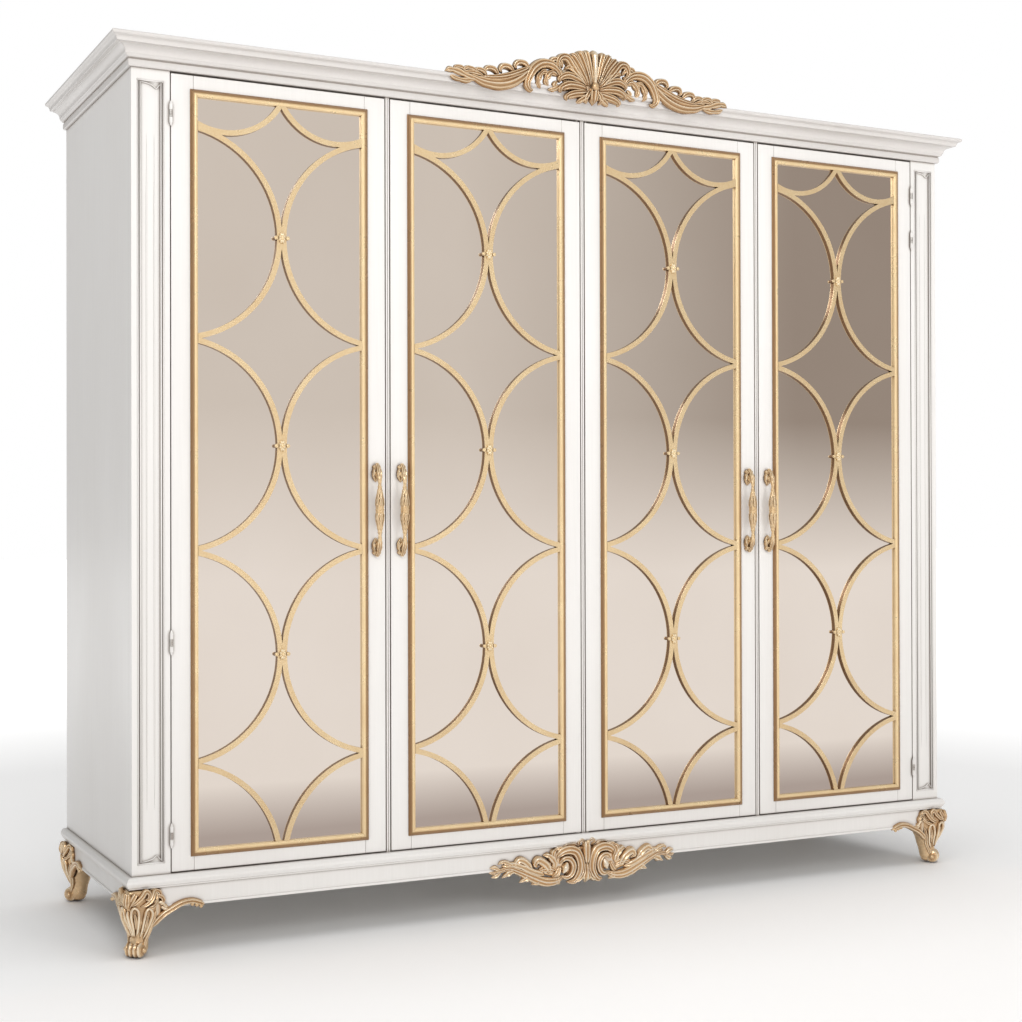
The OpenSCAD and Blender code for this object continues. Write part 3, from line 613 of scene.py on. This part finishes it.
crest = {
    "baseAbove": 0.0035,                      # middle of the shell above the cornice top
    "lift": -3.4,                             # the back is let into the cornice by this much
    "knob": ((0, -16, 2), (9, 7, 11)),        # place and radii
    "strands": [
        # dish behind the shell, so that its flutes join
        ([(0, -22), (0, 15), (0, 55), (0, 84)], [22, 50, 62, 26], [4, 7, 8, 5], 1, 0, 0),
        ([(26, 0), (60, 18), (84, 38)], [14, 26, 14], [4, 6, 4], 1, 0, 0),
        # side leaf, from its tip inwards
        ([(312, -14), (345, -9), (370, 0), (392, 3), (407, -3)], [4, 10, 11, 9, 2], [6, 11, 11, 9, 3], 2, 3, 0),
        ([(326, -14), (352, -19), (378, -16), (396, -8)], [3, 8, 7, 2], [5, 9, 8, 3], 2, 2, 0),
        ([(318, 0), (332, 10), (348, 12), (356, 5), (348, 0)], [4, 6, 6, 4, 2], [7, 11, 10, 7, 4], 2, 0, 1),
        ([(350, 4), (364, 11), (378, 11), (383, 4)], [4, 6, 5, 2], [7, 10, 8, 3], 2, 0, 1),
        ([(300, -4), (322, 2), (344, 3), (362, -4)], [3, 7, 6, 2], [6, 10, 9, 3], 2, 0, 0),
        ([(150, 42), (180, 25), (205, 5), (232, -10), (264, -18), (300, -17), (328, -9), (346, 1)],
         [5, 12, 15, 16, 16, 13, 8, 3], [9, 13, 15, 15, 14, 12, 9, 4], 3, 0, 0),
        ([(170, 36), (206, 17), (244, 2), (282, -5), (316, -5)], [6, 10, 10, 8, 3], [10, 16, 16, 13, 5], 3, 0, 1),
        ([(178, 28), (193, 40), (210, 41), (219, 31), (212, 22)], [5, 8, 8, 6, 3], [9, 15, 14, 11, 5], 2, 0, 1),
        ([(220, 13), (235, 26), (252, 27), (260, 17), (252, 10)], [5, 8, 8, 6, 3], [9, 15, 14, 10, 5], 2, 0, 1),
        ([(262, 2), (276, 16), (293, 18), (301, 9), (293, 2)], [5, 8, 7, 5, 3], [8, 13, 12, 9, 5], 2, 0, 1),
        ([(294, -2), (306, 9), (321, 11), (328, 2)], [4, 7, 6, 2], [8, 12, 10, 4], 2, 0, 1),
        # what hangs inside the arch
        ([(96, 20), (112, 28), (126, 20), (132, 4), (124, -10)], [5, 10, 11, 9, 3], [7, 11, 12, 10, 5], 3, 3, 0),
        ([(122, 26), (140, 26), (152, 12), (154, -4), (146, -16)], [5, 9, 10, 8, 3], [7, 12, 12, 10, 5], 3, 3, 0),
        ([(100, 8), (108, -2), (104, -14)], [5, 8, 3], [7, 10, 4], 2, 0, 0),
        ([(92, 0), (108, -12), (126, -16)], [5, 8, 3], [7, 10, 4], 2, 2, 0),
        ([(84, 8), (98, 33), (120, 46), (146, 45), (167, 31), (180, 10), (186, -10), (178, -23), (166, -20)],
         [5, 9, 12, 14, 14, 12, 10, 7, 4], [9, 14, 17, 18, 18, 16, 14, 11, 6], 3, 0, 1),
        ([(84, 42), (96, 57), (112, 60), (121, 49), (110, 40)], [5, 8, 8, 6, 3], [9, 14, 14, 10, 5], 2, 0, 1),
        # ruffled leaves under the shell
        ([(18, 4), (46, 18), (72, 24), (92, 16), (94, 4)], [6, 11, 12, 9, 4], [12, 17, 18, 14, 8], 3, 0, 0),
        ([(14, -4), (42, 0), (70, 0), (90, -9), (90, -20)], [7, 12, 13, 10, 4], [13, 19, 20, 16, 8], 3, 0, 0),
        ([(12, -10), (34, -16), (56, -20), (74, -28), (72, -38)], [7, 11, 11, 8, 3], [13, 18, 17, 12, 6], 3, 0, 0),
        ([(9, -14), (22, -24), (36, -33), (46, -40)], [6, 9, 8, 3], [12, 17, 14, 6], 2, 0, 0),
        # shell
        ([(20, 4), (42, 26), (60, 48), (76, 66), (93, 66), (102, 50), (96, 36), (86, 40)],
         [5, 10, 12, 12, 10, 8, 6, 4], [12, 17, 20, 21, 19, 16, 13, 8], 3, 0, 2),
        ([(16, 2), (34, 20), (54, 36), (70, 44), (82, 38)], [4, 8, 9, 8, 3], [12, 17, 18, 16, 8], 2, 0, 1),
        ([(13, 2), (27, 26), (43, 51), (59, 70), (70, 77)], [4, 8, 11, 12, 6], [12, 18, 20, 22, 14], 3, 0, 2),
        ([(9, 2), (18, 28), (29, 56), (41, 78), (49, 87)], [4, 8, 11, 12, 6], [13, 19, 21, 23, 15], 3, 0, 2),
        ([(5, 2), (10, 30), (16, 58), (23, 82), (27, 93)], [3, 7, 9, 10, 6], [13, 20, 21, 22, 14], 2, 0, 2),
        ([(0, -4), (0, 18), (0, 50), (0, 80), (0, 97)], [5, 7, 10, 12, 5], [17, 22, 24, 23, 12], 1, 0, 2),
        ([(9, -6), (18, -18), (22, -30), (16, -39)], [4, 8, 7, 3], [15, 20, 17, 8], 2, 0, 0),
        ([(0, 4), (0, -12), (0, -28), (0, -43)], [9, 14, 13, 2], [20, 25, 22, 8], 3, 0, 0),
    ],
}


def makeCrest(values):
    bm = bmesh.new()
    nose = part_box("cornice_front")[0][1]
    origin = Vector((0, nose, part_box("cornice_front")[1][2] + values["baseAbove"]))
    carveFlat(bm, values["strands"], origin, lift=values["lift"])
    place, radii = values["knob"]
    addKnob(bm, origin + Vector(place) * mm, [r * mm for r in radii])
    finishPiece("crestCarving", bm, "carcass", finishes["gilded_carving"], "gilded_carving", "crest_carving")


makeCrest(crest)
print("crest carved")

apron = {
    "knob": ((0, -22, 163), (5, 4, 5)),
    "strands": [
        # ground under the middle, so that the leaves join
        ([(0, 152), (0, 120), (0, 84), (0, 64)], [30, 62, 58, 22], [4, 6, 6, 4], 1, 0, 0),
        ([(60, 120), (90, 104), (120, 96)], [16, 24, 10], [4, 6, 4], 1, 0, 0),
        # wing
        ([(56, 82), (84, 70), (113, 70), (141, 80), (168, 93), (194, 105), (216, 113), (238, 109), (258, 105),
          (270, 108)], [6, 11, 13, 13, 11, 9, 7, 6, 5, 2], [10, 15, 17, 17, 16, 14, 12, 10, 8, 3], 3, 0, 0),
        ([(112, 86), (146, 98), (180, 114), (208, 122), (236, 119)], [6, 12, 12, 9, 3], [10, 15, 15, 12, 4], 2, 4, 0),
        ([(100, 88), (112, 112), (134, 126), (144, 116), (132, 108)],
         [7, 12, 12, 7, 3], [10, 18, 18, 13, 6], 2, 0, 1),
        ([(88, 98), (90, 118), (104, 134), (120, 136)], [7, 12, 10, 3], [10, 18, 16, 6], 2, 3, 1),
        ([(150, 98), (164, 119), (184, 131), (196, 122), (184, 116)], [6, 10, 10, 7, 3], [9, 15, 14, 11, 4], 2, 0, 1),
        ([(200, 112), (214, 124), (232, 130), (244, 124)], [4, 7, 6, 2], [8, 12, 11, 4], 2, 3, 1),
        ([(238, 108), (252, 117), (266, 118)], [5, 7, 2], [8, 10, 3], 2, 0, 0),
        ([(146, 90), (166, 84), (186, 74)], [8, 12, 2], [10, 14, 4], 2, 3, 0),
        ([(196, 108), (216, 101), (234, 90)], [7, 11, 2], [9, 13, 4], 2, 3, 0),
        ([(238, 106), (250, 98), (262, 94)], [5, 8, 2], [8, 10, 3], 2, 0, 0),
        ([(120, 78), (138, 72), (152, 66)], [7, 9, 2], [10, 13, 4], 3, 0, 0),
        ([(84, 94), (102, 102), (122, 102), (136, 94)], [7, 10, 9, 3], [10, 14, 12, 5], 3, 0, 0),
        ([(80, 108), (90, 126), (90, 142), (78, 147)], [6, 10, 9, 3], [10, 16, 15, 6], 3, 0, 1),
        ([(80, 80), (80, 68), (70, 60)], [7, 9, 3], [10, 13, 5], 2, 0, 0),
        # ovals beside the spine, ridge inside ridge
        ([(88, 122), (72, 140), (50, 146), (28, 138), (17, 112), (19, 86), (34, 66), (54, 64)],
         [6, 12, 14, 14, 13, 12, 9, 4], [12, 19, 22, 23, 23, 21, 17, 8], 3, 0, 1),
        ([(76, 110), (62, 124), (46, 122), (36, 106), (40, 86), (54, 76), (70, 82)],
         [4, 8, 9, 9, 8, 7, 3], [12, 17, 20, 20, 18, 15, 8], 2, 0, 1),
        ([(52, 116), (58, 100), (64, 86)], [5, 11, 5], [11, 17, 10], 1, 0, 1),
        ([(72, 106), (82, 88), (94, 78)], [6, 9, 3], [11, 15, 6], 3, 0, 1),
        ([(20, 150), (36, 161), (56, 160), (68, 150)], [5, 8, 7, 3], [12, 17, 15, 6], 3, 2, 1),
        ([(60, 144), (76, 152), (92, 144)], [5, 8, 3], [11, 15, 6], 2, 2, 1),
        # spine
        ([(0, 168), (0, 150), (0, 128), (0, 104)], [8, 12, 11, 6], [19, 24, 24, 19], 2, 0, 2),
        ([(0, 112), (0, 92), (0, 74), (0, 57)], [5, 8, 16, 2], [17, 21, 23, 8], 3, 0, 2),
        ([(4, 100), (10, 82), (22, 68), (34, 66)], [3, 7, 8, 2], [15, 19, 16, 6], 2, 0, 2),
        ([(3, 158), (14, 168), (22, 162), (16, 152)], [4, 6, 6, 3], [15, 19, 17, 9], 2, 0, 2),
    ],
}


def makeApron(values):
    bm = bmesh.new()
    origin = Vector((0, doorFace, 0))
    carveFlat(bm, values["strands"], origin)
    place, radii = values["knob"]
    addKnob(bm, origin + Vector(place) * mm, [r * mm for r in radii])
    finishPiece("apronCarving", bm, "carcass", apronGilding, "gilded_carving", "apron_carving")


makeApron(apron)
print("apron carved")


def addTube(bm, spine, radii, across, ribs=0, depth=0.0, twist=0.0, tip=0.05, rows=36, columns=24):
    # a round bar along a curve; ribs run along it and may wind round it
    centres = smoothPath(spine, rows)
    grid = bmesh.ops.create_grid(bm, x_segments=rows, y_segments=columns, size=0.5)
    for vert in grid["verts"]:
        row = round((vert.co.x + 0.5) * rows)
        t = row / rows
        turn = 2 * math.pi * (vert.co.y + 0.5)
        along = (centres[min(row + 1, rows)] - centres[max(row - 1, 0)]).normalized()
        side = across.cross(along).normalized()
        face = along.cross(side).normalized()
        radius = between(radii, t) * rounding(t, tip)
        radius *= 1 - depth * (0.5 + 0.5 * math.cos(ribs * turn + twist * t)) if ribs else 1
        vert.co = centres[row] + side * (radius * math.cos(turn)) + face * (radius * math.sin(turn))
    bmesh.ops.remove_doubles(bm, verts=grid["verts"], dist=2e-6)


foot = {
    # height, front and back along the corner's diagonal, half width
    "sections": [(3, -20, -40, 13), (10, -14, -46, 18), (20, -8, -50, 21), (30, -5, -52, 21), (40, -8, -54, 20),
                 (48, -9, -57, 21), (58, -7, -60, 25), (70, -1, -63, 29), (84, 6, -69, 35), (98, 13, -78, 39),
                 (107, 16, -84, 41), (118, 19, -84, 42), (130, 20, -84, 41), (145, 18, -84, 38), (154, 14, -84, 34)],
    "standOut": 15.0,                         # furthest that the knee stands out from the rails
    "toe": {"middle": (-14, 19), "radius": 18.6, "half": 22, "ribs": 4, "groove": 0.13, "bud": 6.5},
    "backInset": 24,                          # corner of a back foot in front of the block's rear face
    # places on the leg as turn from the diagonal and height, half widths, heights, flutes, lobes
    "leaves": [
        ([(0, 112), (0, 98), (0, 80), (0, 62), (0, 46)], [3, 5, 5, 4, 2], [4, 6, 6, 5, 3], 1, 0),
        # ridges that turn over at the top
        ([(7, 44), (9, 70), (10, 96), (14, 112), (24, 117), (33, 110), (33, 92), (26, 66), (18, 46)],
         [2, 3.4, 3.8, 4, 4, 4, 4, 3.6, 2], [3, 5, 6, 7, 8, 8, 7, 6, 4], 1, 0),
        ([(22, 104), (22, 86), (17, 64)], [3, 5, 2], [3, 5, 3], 2, 0),
        ([(36, 44), (44, 66), (50, 90), (56, 108), (66, 112), (74, 102), (72, 84), (64, 60), (54, 40)],
         [2, 3.4, 3.8, 4, 4, 4, 4, 3.6, 2], [3, 5, 6, 7, 7, 7, 6, 5, 3], 1, 0),
        ([(62, 98), (59, 78), (50, 56)], [3, 5.5, 2], [3, 5, 3], 2, 3),
        ([(88, 106), (86, 84), (80, 58), (72, 38), (62, 24)], [4, 6, 6, 5, 4], [5, 7, 7, 6, 4], 2, 0),
        # knee cap: scrolls that open upwards from the middle
        ([(0, 116), (0, 132), (0, 150)], [5, 10, 8], [6, 9, 7], 3, 0),
        ([(6, 118), (18, 134), (30, 148)], [4, 8, 7], [5, 8, 7], 2, 0),
        ([(12, 120), (30, 128), (48, 140), (58, 150), (68, 144), (64, 134), (54, 134)],
         [3, 6, 7, 7, 6, 5, 3], [5, 8, 9, 10, 9, 8, 5], 2, 0),
        ([(40, 118), (58, 122), (74, 132), (84, 146), (94, 140), (90, 128), (80, 124)],
         [3, 6, 7, 7, 6, 5, 3], [5, 8, 9, 9, 9, 7, 4], 2, 0),
        ([(60, 114), (76, 116), (90, 124), (98, 134)], [3, 6, 6, 3], [5, 8, 7, 4], 2, 2),
    ],
    # along the face from the corner and height, half widths, heights, flutes, lobes
    "wing": [
        ([(44, 146), (52, 122), (56, 100), (54, 82)], [8, 13, 10, 4], [3, 5, 5, 3], 1, 0),
        ([(36, 148), (48, 151), (60, 146), (63, 136), (55, 131)], [4, 6, 6, 5, 3], [8, 11, 11, 9, 5], 2, 0),
        ([(50, 136), (62, 136), (70, 127), (66, 118), (58, 119)], [4, 6, 6, 5, 3], [8, 11, 11, 9, 5], 2, 0),
        ([(54, 122), (66, 121), (74, 112), (84, 108)], [4, 6, 5, 2], [7, 10, 9, 4], 1, 2),
        ([(42, 64), (55, 80), (71, 94), (90, 104), (112, 114), (134, 117), (152, 112), (167, 104)],
         [4, 8.5, 9, 8.5, 8, 7.5, 7, 4], [6, 11, 13, 13, 12, 12, 11, 6], 2, 0),
        ([(64, 112), (78, 104), (92, 104)], [4, 6, 3], [5, 8, 4], 1, 0),
    ],
    "beads": [(146, 108, 5.0), (156, 104, 4.8), (136, 110, 4.4)],
}


def legPlace(values, turn, height, lift=0.0):
    # a place on the leg's skin, in millimetres from the corner
    rows = values["sections"]
    height = min(max(height, rows[0][0]), rows[-1][0])
    i = max(k for k in range(len(rows) - 1) if rows[k][0] <= height)
    f = (height - rows[i][0]) / (rows[i + 1][0] - rows[i][0])
    f = f * f * (3 - 2 * f)
    near, far, half = (rows[i][k] * (1 - f) + rows[i + 1][k] * f for k in (1, 2, 3))
    a = math.radians(turn)
    d = (near + far) / 2 + ((near - far) / 2 + lift) * math.cos(a)
    l = (half + lift) * math.sin(a)
    x, y = (l - d) / math.sqrt(2), (-l - d) / math.sqrt(2)
    limit = values["standOut"] + lift
    return Vector((softLimit(x, -limit), softLimit(y, -limit), height))


def softLimit(value, low, soft=4.0):
    over = low + soft - value
    return value if over <= 0 else low + soft - soft * (1 - math.exp(-over / soft))


def carveFoot(values, wings):
    # a front left foot, its corner at the origin
    bm = bmesh.new()
    layer = bm.verts.layers.float.new("ridge")
    rows, columns = 44, 48
    heights = smoothPath([Vector((0, 0, s[0])) for s in values["sections"]], rows)
    grid = bmesh.ops.create_grid(bm, x_segments=rows, y_segments=columns, size=0.5)
    for vert in grid["verts"]:
        row = round((vert.co.x + 0.5) * rows)
        turn = 360 * (vert.co.y + 0.5)
        place = legPlace(values, turn, heights[row].z)
        if row in (0, rows):
            place = Vector((22, 22, heights[row].z))
        vert.co = place * mm
    bmesh.ops.remove_doubles(bm, verts=grid["verts"], dist=2e-6)
    # rolled toe, its axis across the diagonal
    toe = values["toe"]
    across = Vector((1, -1, 0)).normalized()
    middle = Vector((-toe["middle"][0], -toe["middle"][0], 0)) / math.sqrt(2) + Vector((0, 0, toe["middle"][1]))
    made = bmesh.ops.create_grid(bm, x_segments=48, y_segments=36, size=0.5)
    for vert in made["verts"]:
        t, turn = vert.co.x + 0.5, 2 * math.pi * (vert.co.y + 0.5)
        trough = 0.5 + 0.5 * math.cos(2 * math.pi * toe["ribs"] * t)
        radius = toe["radius"] * rounding(t, 0.22) * (1 - toe["groove"] * trough)
        # the ridge values give a painted highlight on each rib of the toe and painted shade in each groove
        vert[layer] = 0.8 - 1.8 * trough
        centre = middle + across * toe["half"] * (2 * t - 1)
        outward = Vector((-1, -1, 0)).normalized()
        vert.co = (centre + outward * radius * math.cos(turn) + Vector((0, 0, radius * math.sin(turn)))) * mm
    bmesh.ops.remove_doubles(bm, verts=made["verts"], dist=2e-6)
    for end in (-1, 1):
        addKnob(bm, (middle + across * toe["half"] * end) * mm, (toe["bud"] * mm,) * 3)
    for points, widths, heights, flutes, lobes in values["leaves"]:
        for sign in ((1,) if all(p[0] == 0 for p in points) else (1, -1)):
            spine = [legPlace(values, sign * turn, height) * mm for turn, height in points]
            outward = []
            for turn, height in points:
                a = legPlace(values, sign * turn + 4, height) - legPlace(values, sign * turn - 4, height)
                b = legPlace(values, sign * turn, height + 4) - legPlace(values, sign * turn, height - 4)
                outward.append(a.cross(b).normalized())
            addStrand(bm, spine, outward, [w * mm for w in widths], [h * mm for h in heights], flutes, lobes,
                      sink=4 * mm)
    for along, outward in wings:
        for points, widths, heights, flutes, lobes in values["wing"]:
            spine = [(along * x + Vector((0, 0, z))) * mm for x, z in points]
            addStrand(bm, spine, [outward] * len(points), [w * mm for w in widths], [h * mm for h in heights],
                      flutes, lobes, sink=6 * mm)
        for x, z, radius in values["beads"]:
            addKnob(bm, (along * x + outward * 6 + Vector((0, 0, z))) * mm, (radius * mm,) * 3)
    return bm


def makeFeet(values):
    frontWing = (Vector((1, 0, 0)), Vector((0, -1, 0)))
    sideWing = (Vector((0, 1, 0)), Vector((-1, 0, 0)))
    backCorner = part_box("foot_back_left")[1][1] - values["backInset"] * mm
    for name, wings, corner, turn in (
            ("front_left", (frontWing, sideWing), (-halfWidth, doorFace), (1, 1)),
            ("front_right", (frontWing, sideWing), (halfWidth, doorFace), (-1, 1)),
            ("back_left", (sideWing,), (-halfWidth, backCorner), (1, -1)),
            ("back_right", (sideWing,), (halfWidth, backCorner), (-1, -1))):
        bm = carveFoot(values, wings)
        bmesh.ops.transform(bm, verts=bm.verts, matrix=Matrix.Translation((*corner, 0))
                            @ Matrix.Diagonal((*turn, 1, 1)))
        finishPiece("foot_" + name + "_carved", bm, "carcass", finishes["gilded_carving"], "gilded_carving",
                    "foot_" + name)


makeFeet(foot)
print("feet carved")


handle = {
    "standOff": 27,
    "grip": [(-74, 3.4), (-62, 3.8), (-50, 5.2), (-36, 7.4), (-20, 9.2), (-6, 10.2), (6, 10.2), (20, 9.0), (36, 7.0),
             (50, 5.0), (62, 3.8), (74, 3.4)],
    "leaves": 6,
    "leaf": [(6, 9.6), (16, 9.6), (28, 8.4), (40, 6.2), (50, 5.6)],   # distance from the middle, radius
    "rings": [(0, 11.4, 3.0), (5.5, 10.9, 1.8), (54, 5.8, 2.6)],      # the same, and half thickness
    "boss": (109, 101, 90, 78, 66),
    "petal": ((1, 100), (6, 92), (8, 82), (6, 74)),
    "cover": ((-4, 110), (-12, 107), (-20, 98), (-26, 83), (-29, 64)),
    "arm": ((-6, 86), (-15, 84), (-23, 79), (-27, 70), (-27, 60)),
}


def makeHandle(i, values):
    low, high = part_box(f"door_{i}_handle")
    origin = Vector(((low[0] + high[0]) / 2, doorFace, (low[2] + high[2]) / 2))
    bm = bmesh.new()
    out = Vector((0, -1, 0))
    off = values["standOff"]
    spine = [Vector((0, -off, z)) * mm for z, r in values["grip"]]
    addTube(bm, spine, [r * mm for z, r in values["grip"]], Vector((1, 0, 0)), ribs=8, depth=0.10, twist=5.0, rows=60)
    for height, radius, thick in values["rings"]:
        for z in (-height, height) if height else (0,):
            addKnob(bm, Vector((0, -off, z)) * mm, (radius * mm, radius * mm, thick * mm))
    for k in range(values["leaves"]):
        a = 2 * math.pi * k / values["leaves"]
        away = Vector((math.sin(a), -math.cos(a), 0))
        for sign in (1, -1):
            leaf = [(Vector((0, -off, sign * z)) + away * (r - 0.8)) * mm for z, r in values["leaf"]]
            addStrand(bm, leaf, [away] * 5, [w * mm for w in (3.2, 4.6, 4.2, 2.8, 1.0)],
                      [h * mm for h in (1.8, 2.8, 2.8, 2.4, 1.6)], 2, 4, rows=20, sink=0.5 * mm)
    for sign in (1, -1):
        boss = [Vector((0, 0, sign * z)) * mm for z in values["boss"]]
        addStrand(bm, boss, [out] * 5, [w * mm for w in (6, 10, 11, 9, 4)],
                  [h * mm for h in (8, 13, 16, 14, 6)], 3, 3)
        for side in (1, -1):
            petal = [Vector((side * x, -4, sign * z)) * mm for x, z in values["petal"]]
            addStrand(bm, petal, [out] * 4, [w * mm for w in (2, 3.4, 3.4, 1.5)], [h * mm for h in (5, 8, 8, 4)])
        addKnob(bm, Vector((0, -11, sign * 102)) * mm, (6.2 * mm, 5 * mm, 6.2 * mm))
        cover = [Vector((0, y, sign * z)) * mm for y, z in values["cover"]]
        away = [Vector((0, -y, sign * z)) for y, z in ((0.5, 0.85), (0.7, 0.7), (0.85, 0.5), (0.95, 0.25), (1, 0))]
        addStrand(bm, cover, away, [w * mm for w in (3.5, 5.5, 7, 8, 3)], [h * mm for h in (3.5, 5, 5, 5, 2)], 3, 4,
                  sink=5 * mm)
        arm = [Vector((0, y, sign * z)) * mm for y, z in values["arm"]]
        addTube(bm, arm, [r * mm for r in (8.0, 7.4, 6.4, 5.0, 4.0)], Vector((1, 0, 0)), ribs=6, depth=0.08, rows=20)
    bmesh.ops.translate(bm, verts=bm.verts, vec=origin)
    finishPiece(f"door_{i}_handle_cast", bm, f"door_{i}", finishes["gilded_brass"], "gilded_brass",
                f"door_{i}_handle")


for i in range(1, 5):
    makeHandle(i, handle)
print("handles cast")


rosette = {"heights": (480, 962, 1444), "petals": 8, "reach": (8.5, 14.0), "proud": 5.0}


def makeRosettes(i, values):
    low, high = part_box(f"door_{i}_frame")
    bm = bmesh.new()
    out = Vector((0, -1, 0))
    for height in values["heights"]:
        middle = Vector(((low[0] + high[0]) / 2, doorFace - values["proud"] * mm, low[2] + height * mm))
        for k in range(values["petals"]):
            a = 2 * math.pi * (k + 0.5) / values["petals"]
            reach = Vector((values["reach"][0] * math.sin(a), 0, values["reach"][1] * math.cos(a))) * mm
            spine = [middle + reach * f for f in (0.1, 0.55, 1.0)]
            addStrand(bm, spine, [out] * 3, [1.5 * mm, 4.0 * mm, 3.0 * mm], [4 * mm, 6.2 * mm, 4.2 * mm], 1, 0,
                      tip=0.3, rows=10, sink=1 * mm)
        addKnob(bm, middle + out * 4.6 * mm, (4.2 * mm, 3.4 * mm, 5.6 * mm))
        for side in (-1, 1):
            addKnob(bm, middle + Vector((side * 14 * mm, 0, 0)), (4.6 * mm, 3.6 * mm, 4.6 * mm))
    finishPiece(f"door_{i}_rosettes", bm, f"door_{i}", finishes["gilded_trim"], "gilded_trim")


for i in range(1, 5):
    makeRosettes(i, rosette)
print("rosettes set")


# a plain studio sweep behind the camera, which the mirrors and the gold reflect; it is part of the stage. It is no
# lamp but glows with painted light, with painted shade towards the right-hand end of the wall and a painted shadow on
# the ground near the armoire

sweepSetup = {
    "nearY": doorFace - 0.16,
    "clear": 0.002,                           # above the floor
    "wallY": -6.4,
    "radius": 2.0,
    "height": 4.6,
    "across": (-6.0, 10.0),
    # painted shadow: the ground colour, darker near the armoire
    "ground": (0.46, 0.39, 0.355),
    "foot": (0.86, 0.79, 0.73),
    "wall": (0.68, 0.61, 0.545),
    # painted shade at the right-hand end of the wall
    "wallFarShade": (0.34, 0.28, 0.235),
}


def makeSweep(values):
    bm = bmesh.new()
    left, right = values["across"]
    y, radius, clear = values["wallY"], values["radius"], values["clear"]
    path = [(values["nearY"], clear), (y + radius, clear)]
    for i in range(1, 17):
        a = math.pi / 2 * i / 16
        path.append((y + radius - radius * math.sin(a), clear + radius * (1 - math.cos(a))))
    path.append((y, values["height"]))
    verts = [bm.verts.new((left, p, z)) for p, z in path]
    edges = [bm.edges.new(pair) for pair in zip(verts, verts[1:])]
    moved = bmesh.ops.extrude_edge_only(bm, edges=edges)["geom"]
    bmesh.ops.translate(bm, vec=(right - left, 0, 0), verts=[v for v in moved if isinstance(v, bmesh.types.BMVert)])
    bmesh.ops.recalc_face_normals(bm, faces=bm.faces)
    sweep = fromBmesh("studioSweep", bm)

    material = bpy.data.materials.new("sweepGlow")
    material.use_nodes = True
    tree = material.node_tree
    tree.nodes.clear()
    out = tree.nodes.new("ShaderNodeOutputMaterial")
    glow = tree.nodes.new("ShaderNodeEmission")
    split = tree.nodes.new("ShaderNodeSeparateXYZ")
    mapping = objectPattern(tree, (0.12, 0.25, 0.25))
    mapping.node.inputs["Location"].default_value = (0, 1, 0)
    tree.links.new(mapping, split.inputs[0])
    # painted shade: the wall darkens towards its right-hand end
    upper = ramp(tree, split.outputs["X"],
                 [(0.15, values["wall"]), (0.30, values["wall"]), (0.62, values["wallFarShade"])])
    rise = ramp(tree, split.outputs["Z"], [(0.16, (0, 0, 0)), (0.42, (1, 1, 1))])
    # painted shadow: the ground is darker near the armoire, lighter further away
    lift = ramp(tree, split.outputs["Y"], [(0.0, values["foot"]), (0.36, values["foot"]), (0.60, values["ground"])])
    glowColour = blendColour(tree, rise, lift, upper)
    tree.links.new(glowColour, glow.inputs["Color"])
    tree.links.new(glow.outputs[0], out.inputs["Surface"])
    sweep.data.materials.append(material)
    sweep.visible_camera = False
    sweep.visible_diffuse = False
    sweep.visible_shadow = False


makeSweep(sweepSetup)
print("sweep set")

scene.view_settings.view_transform = "Standard"
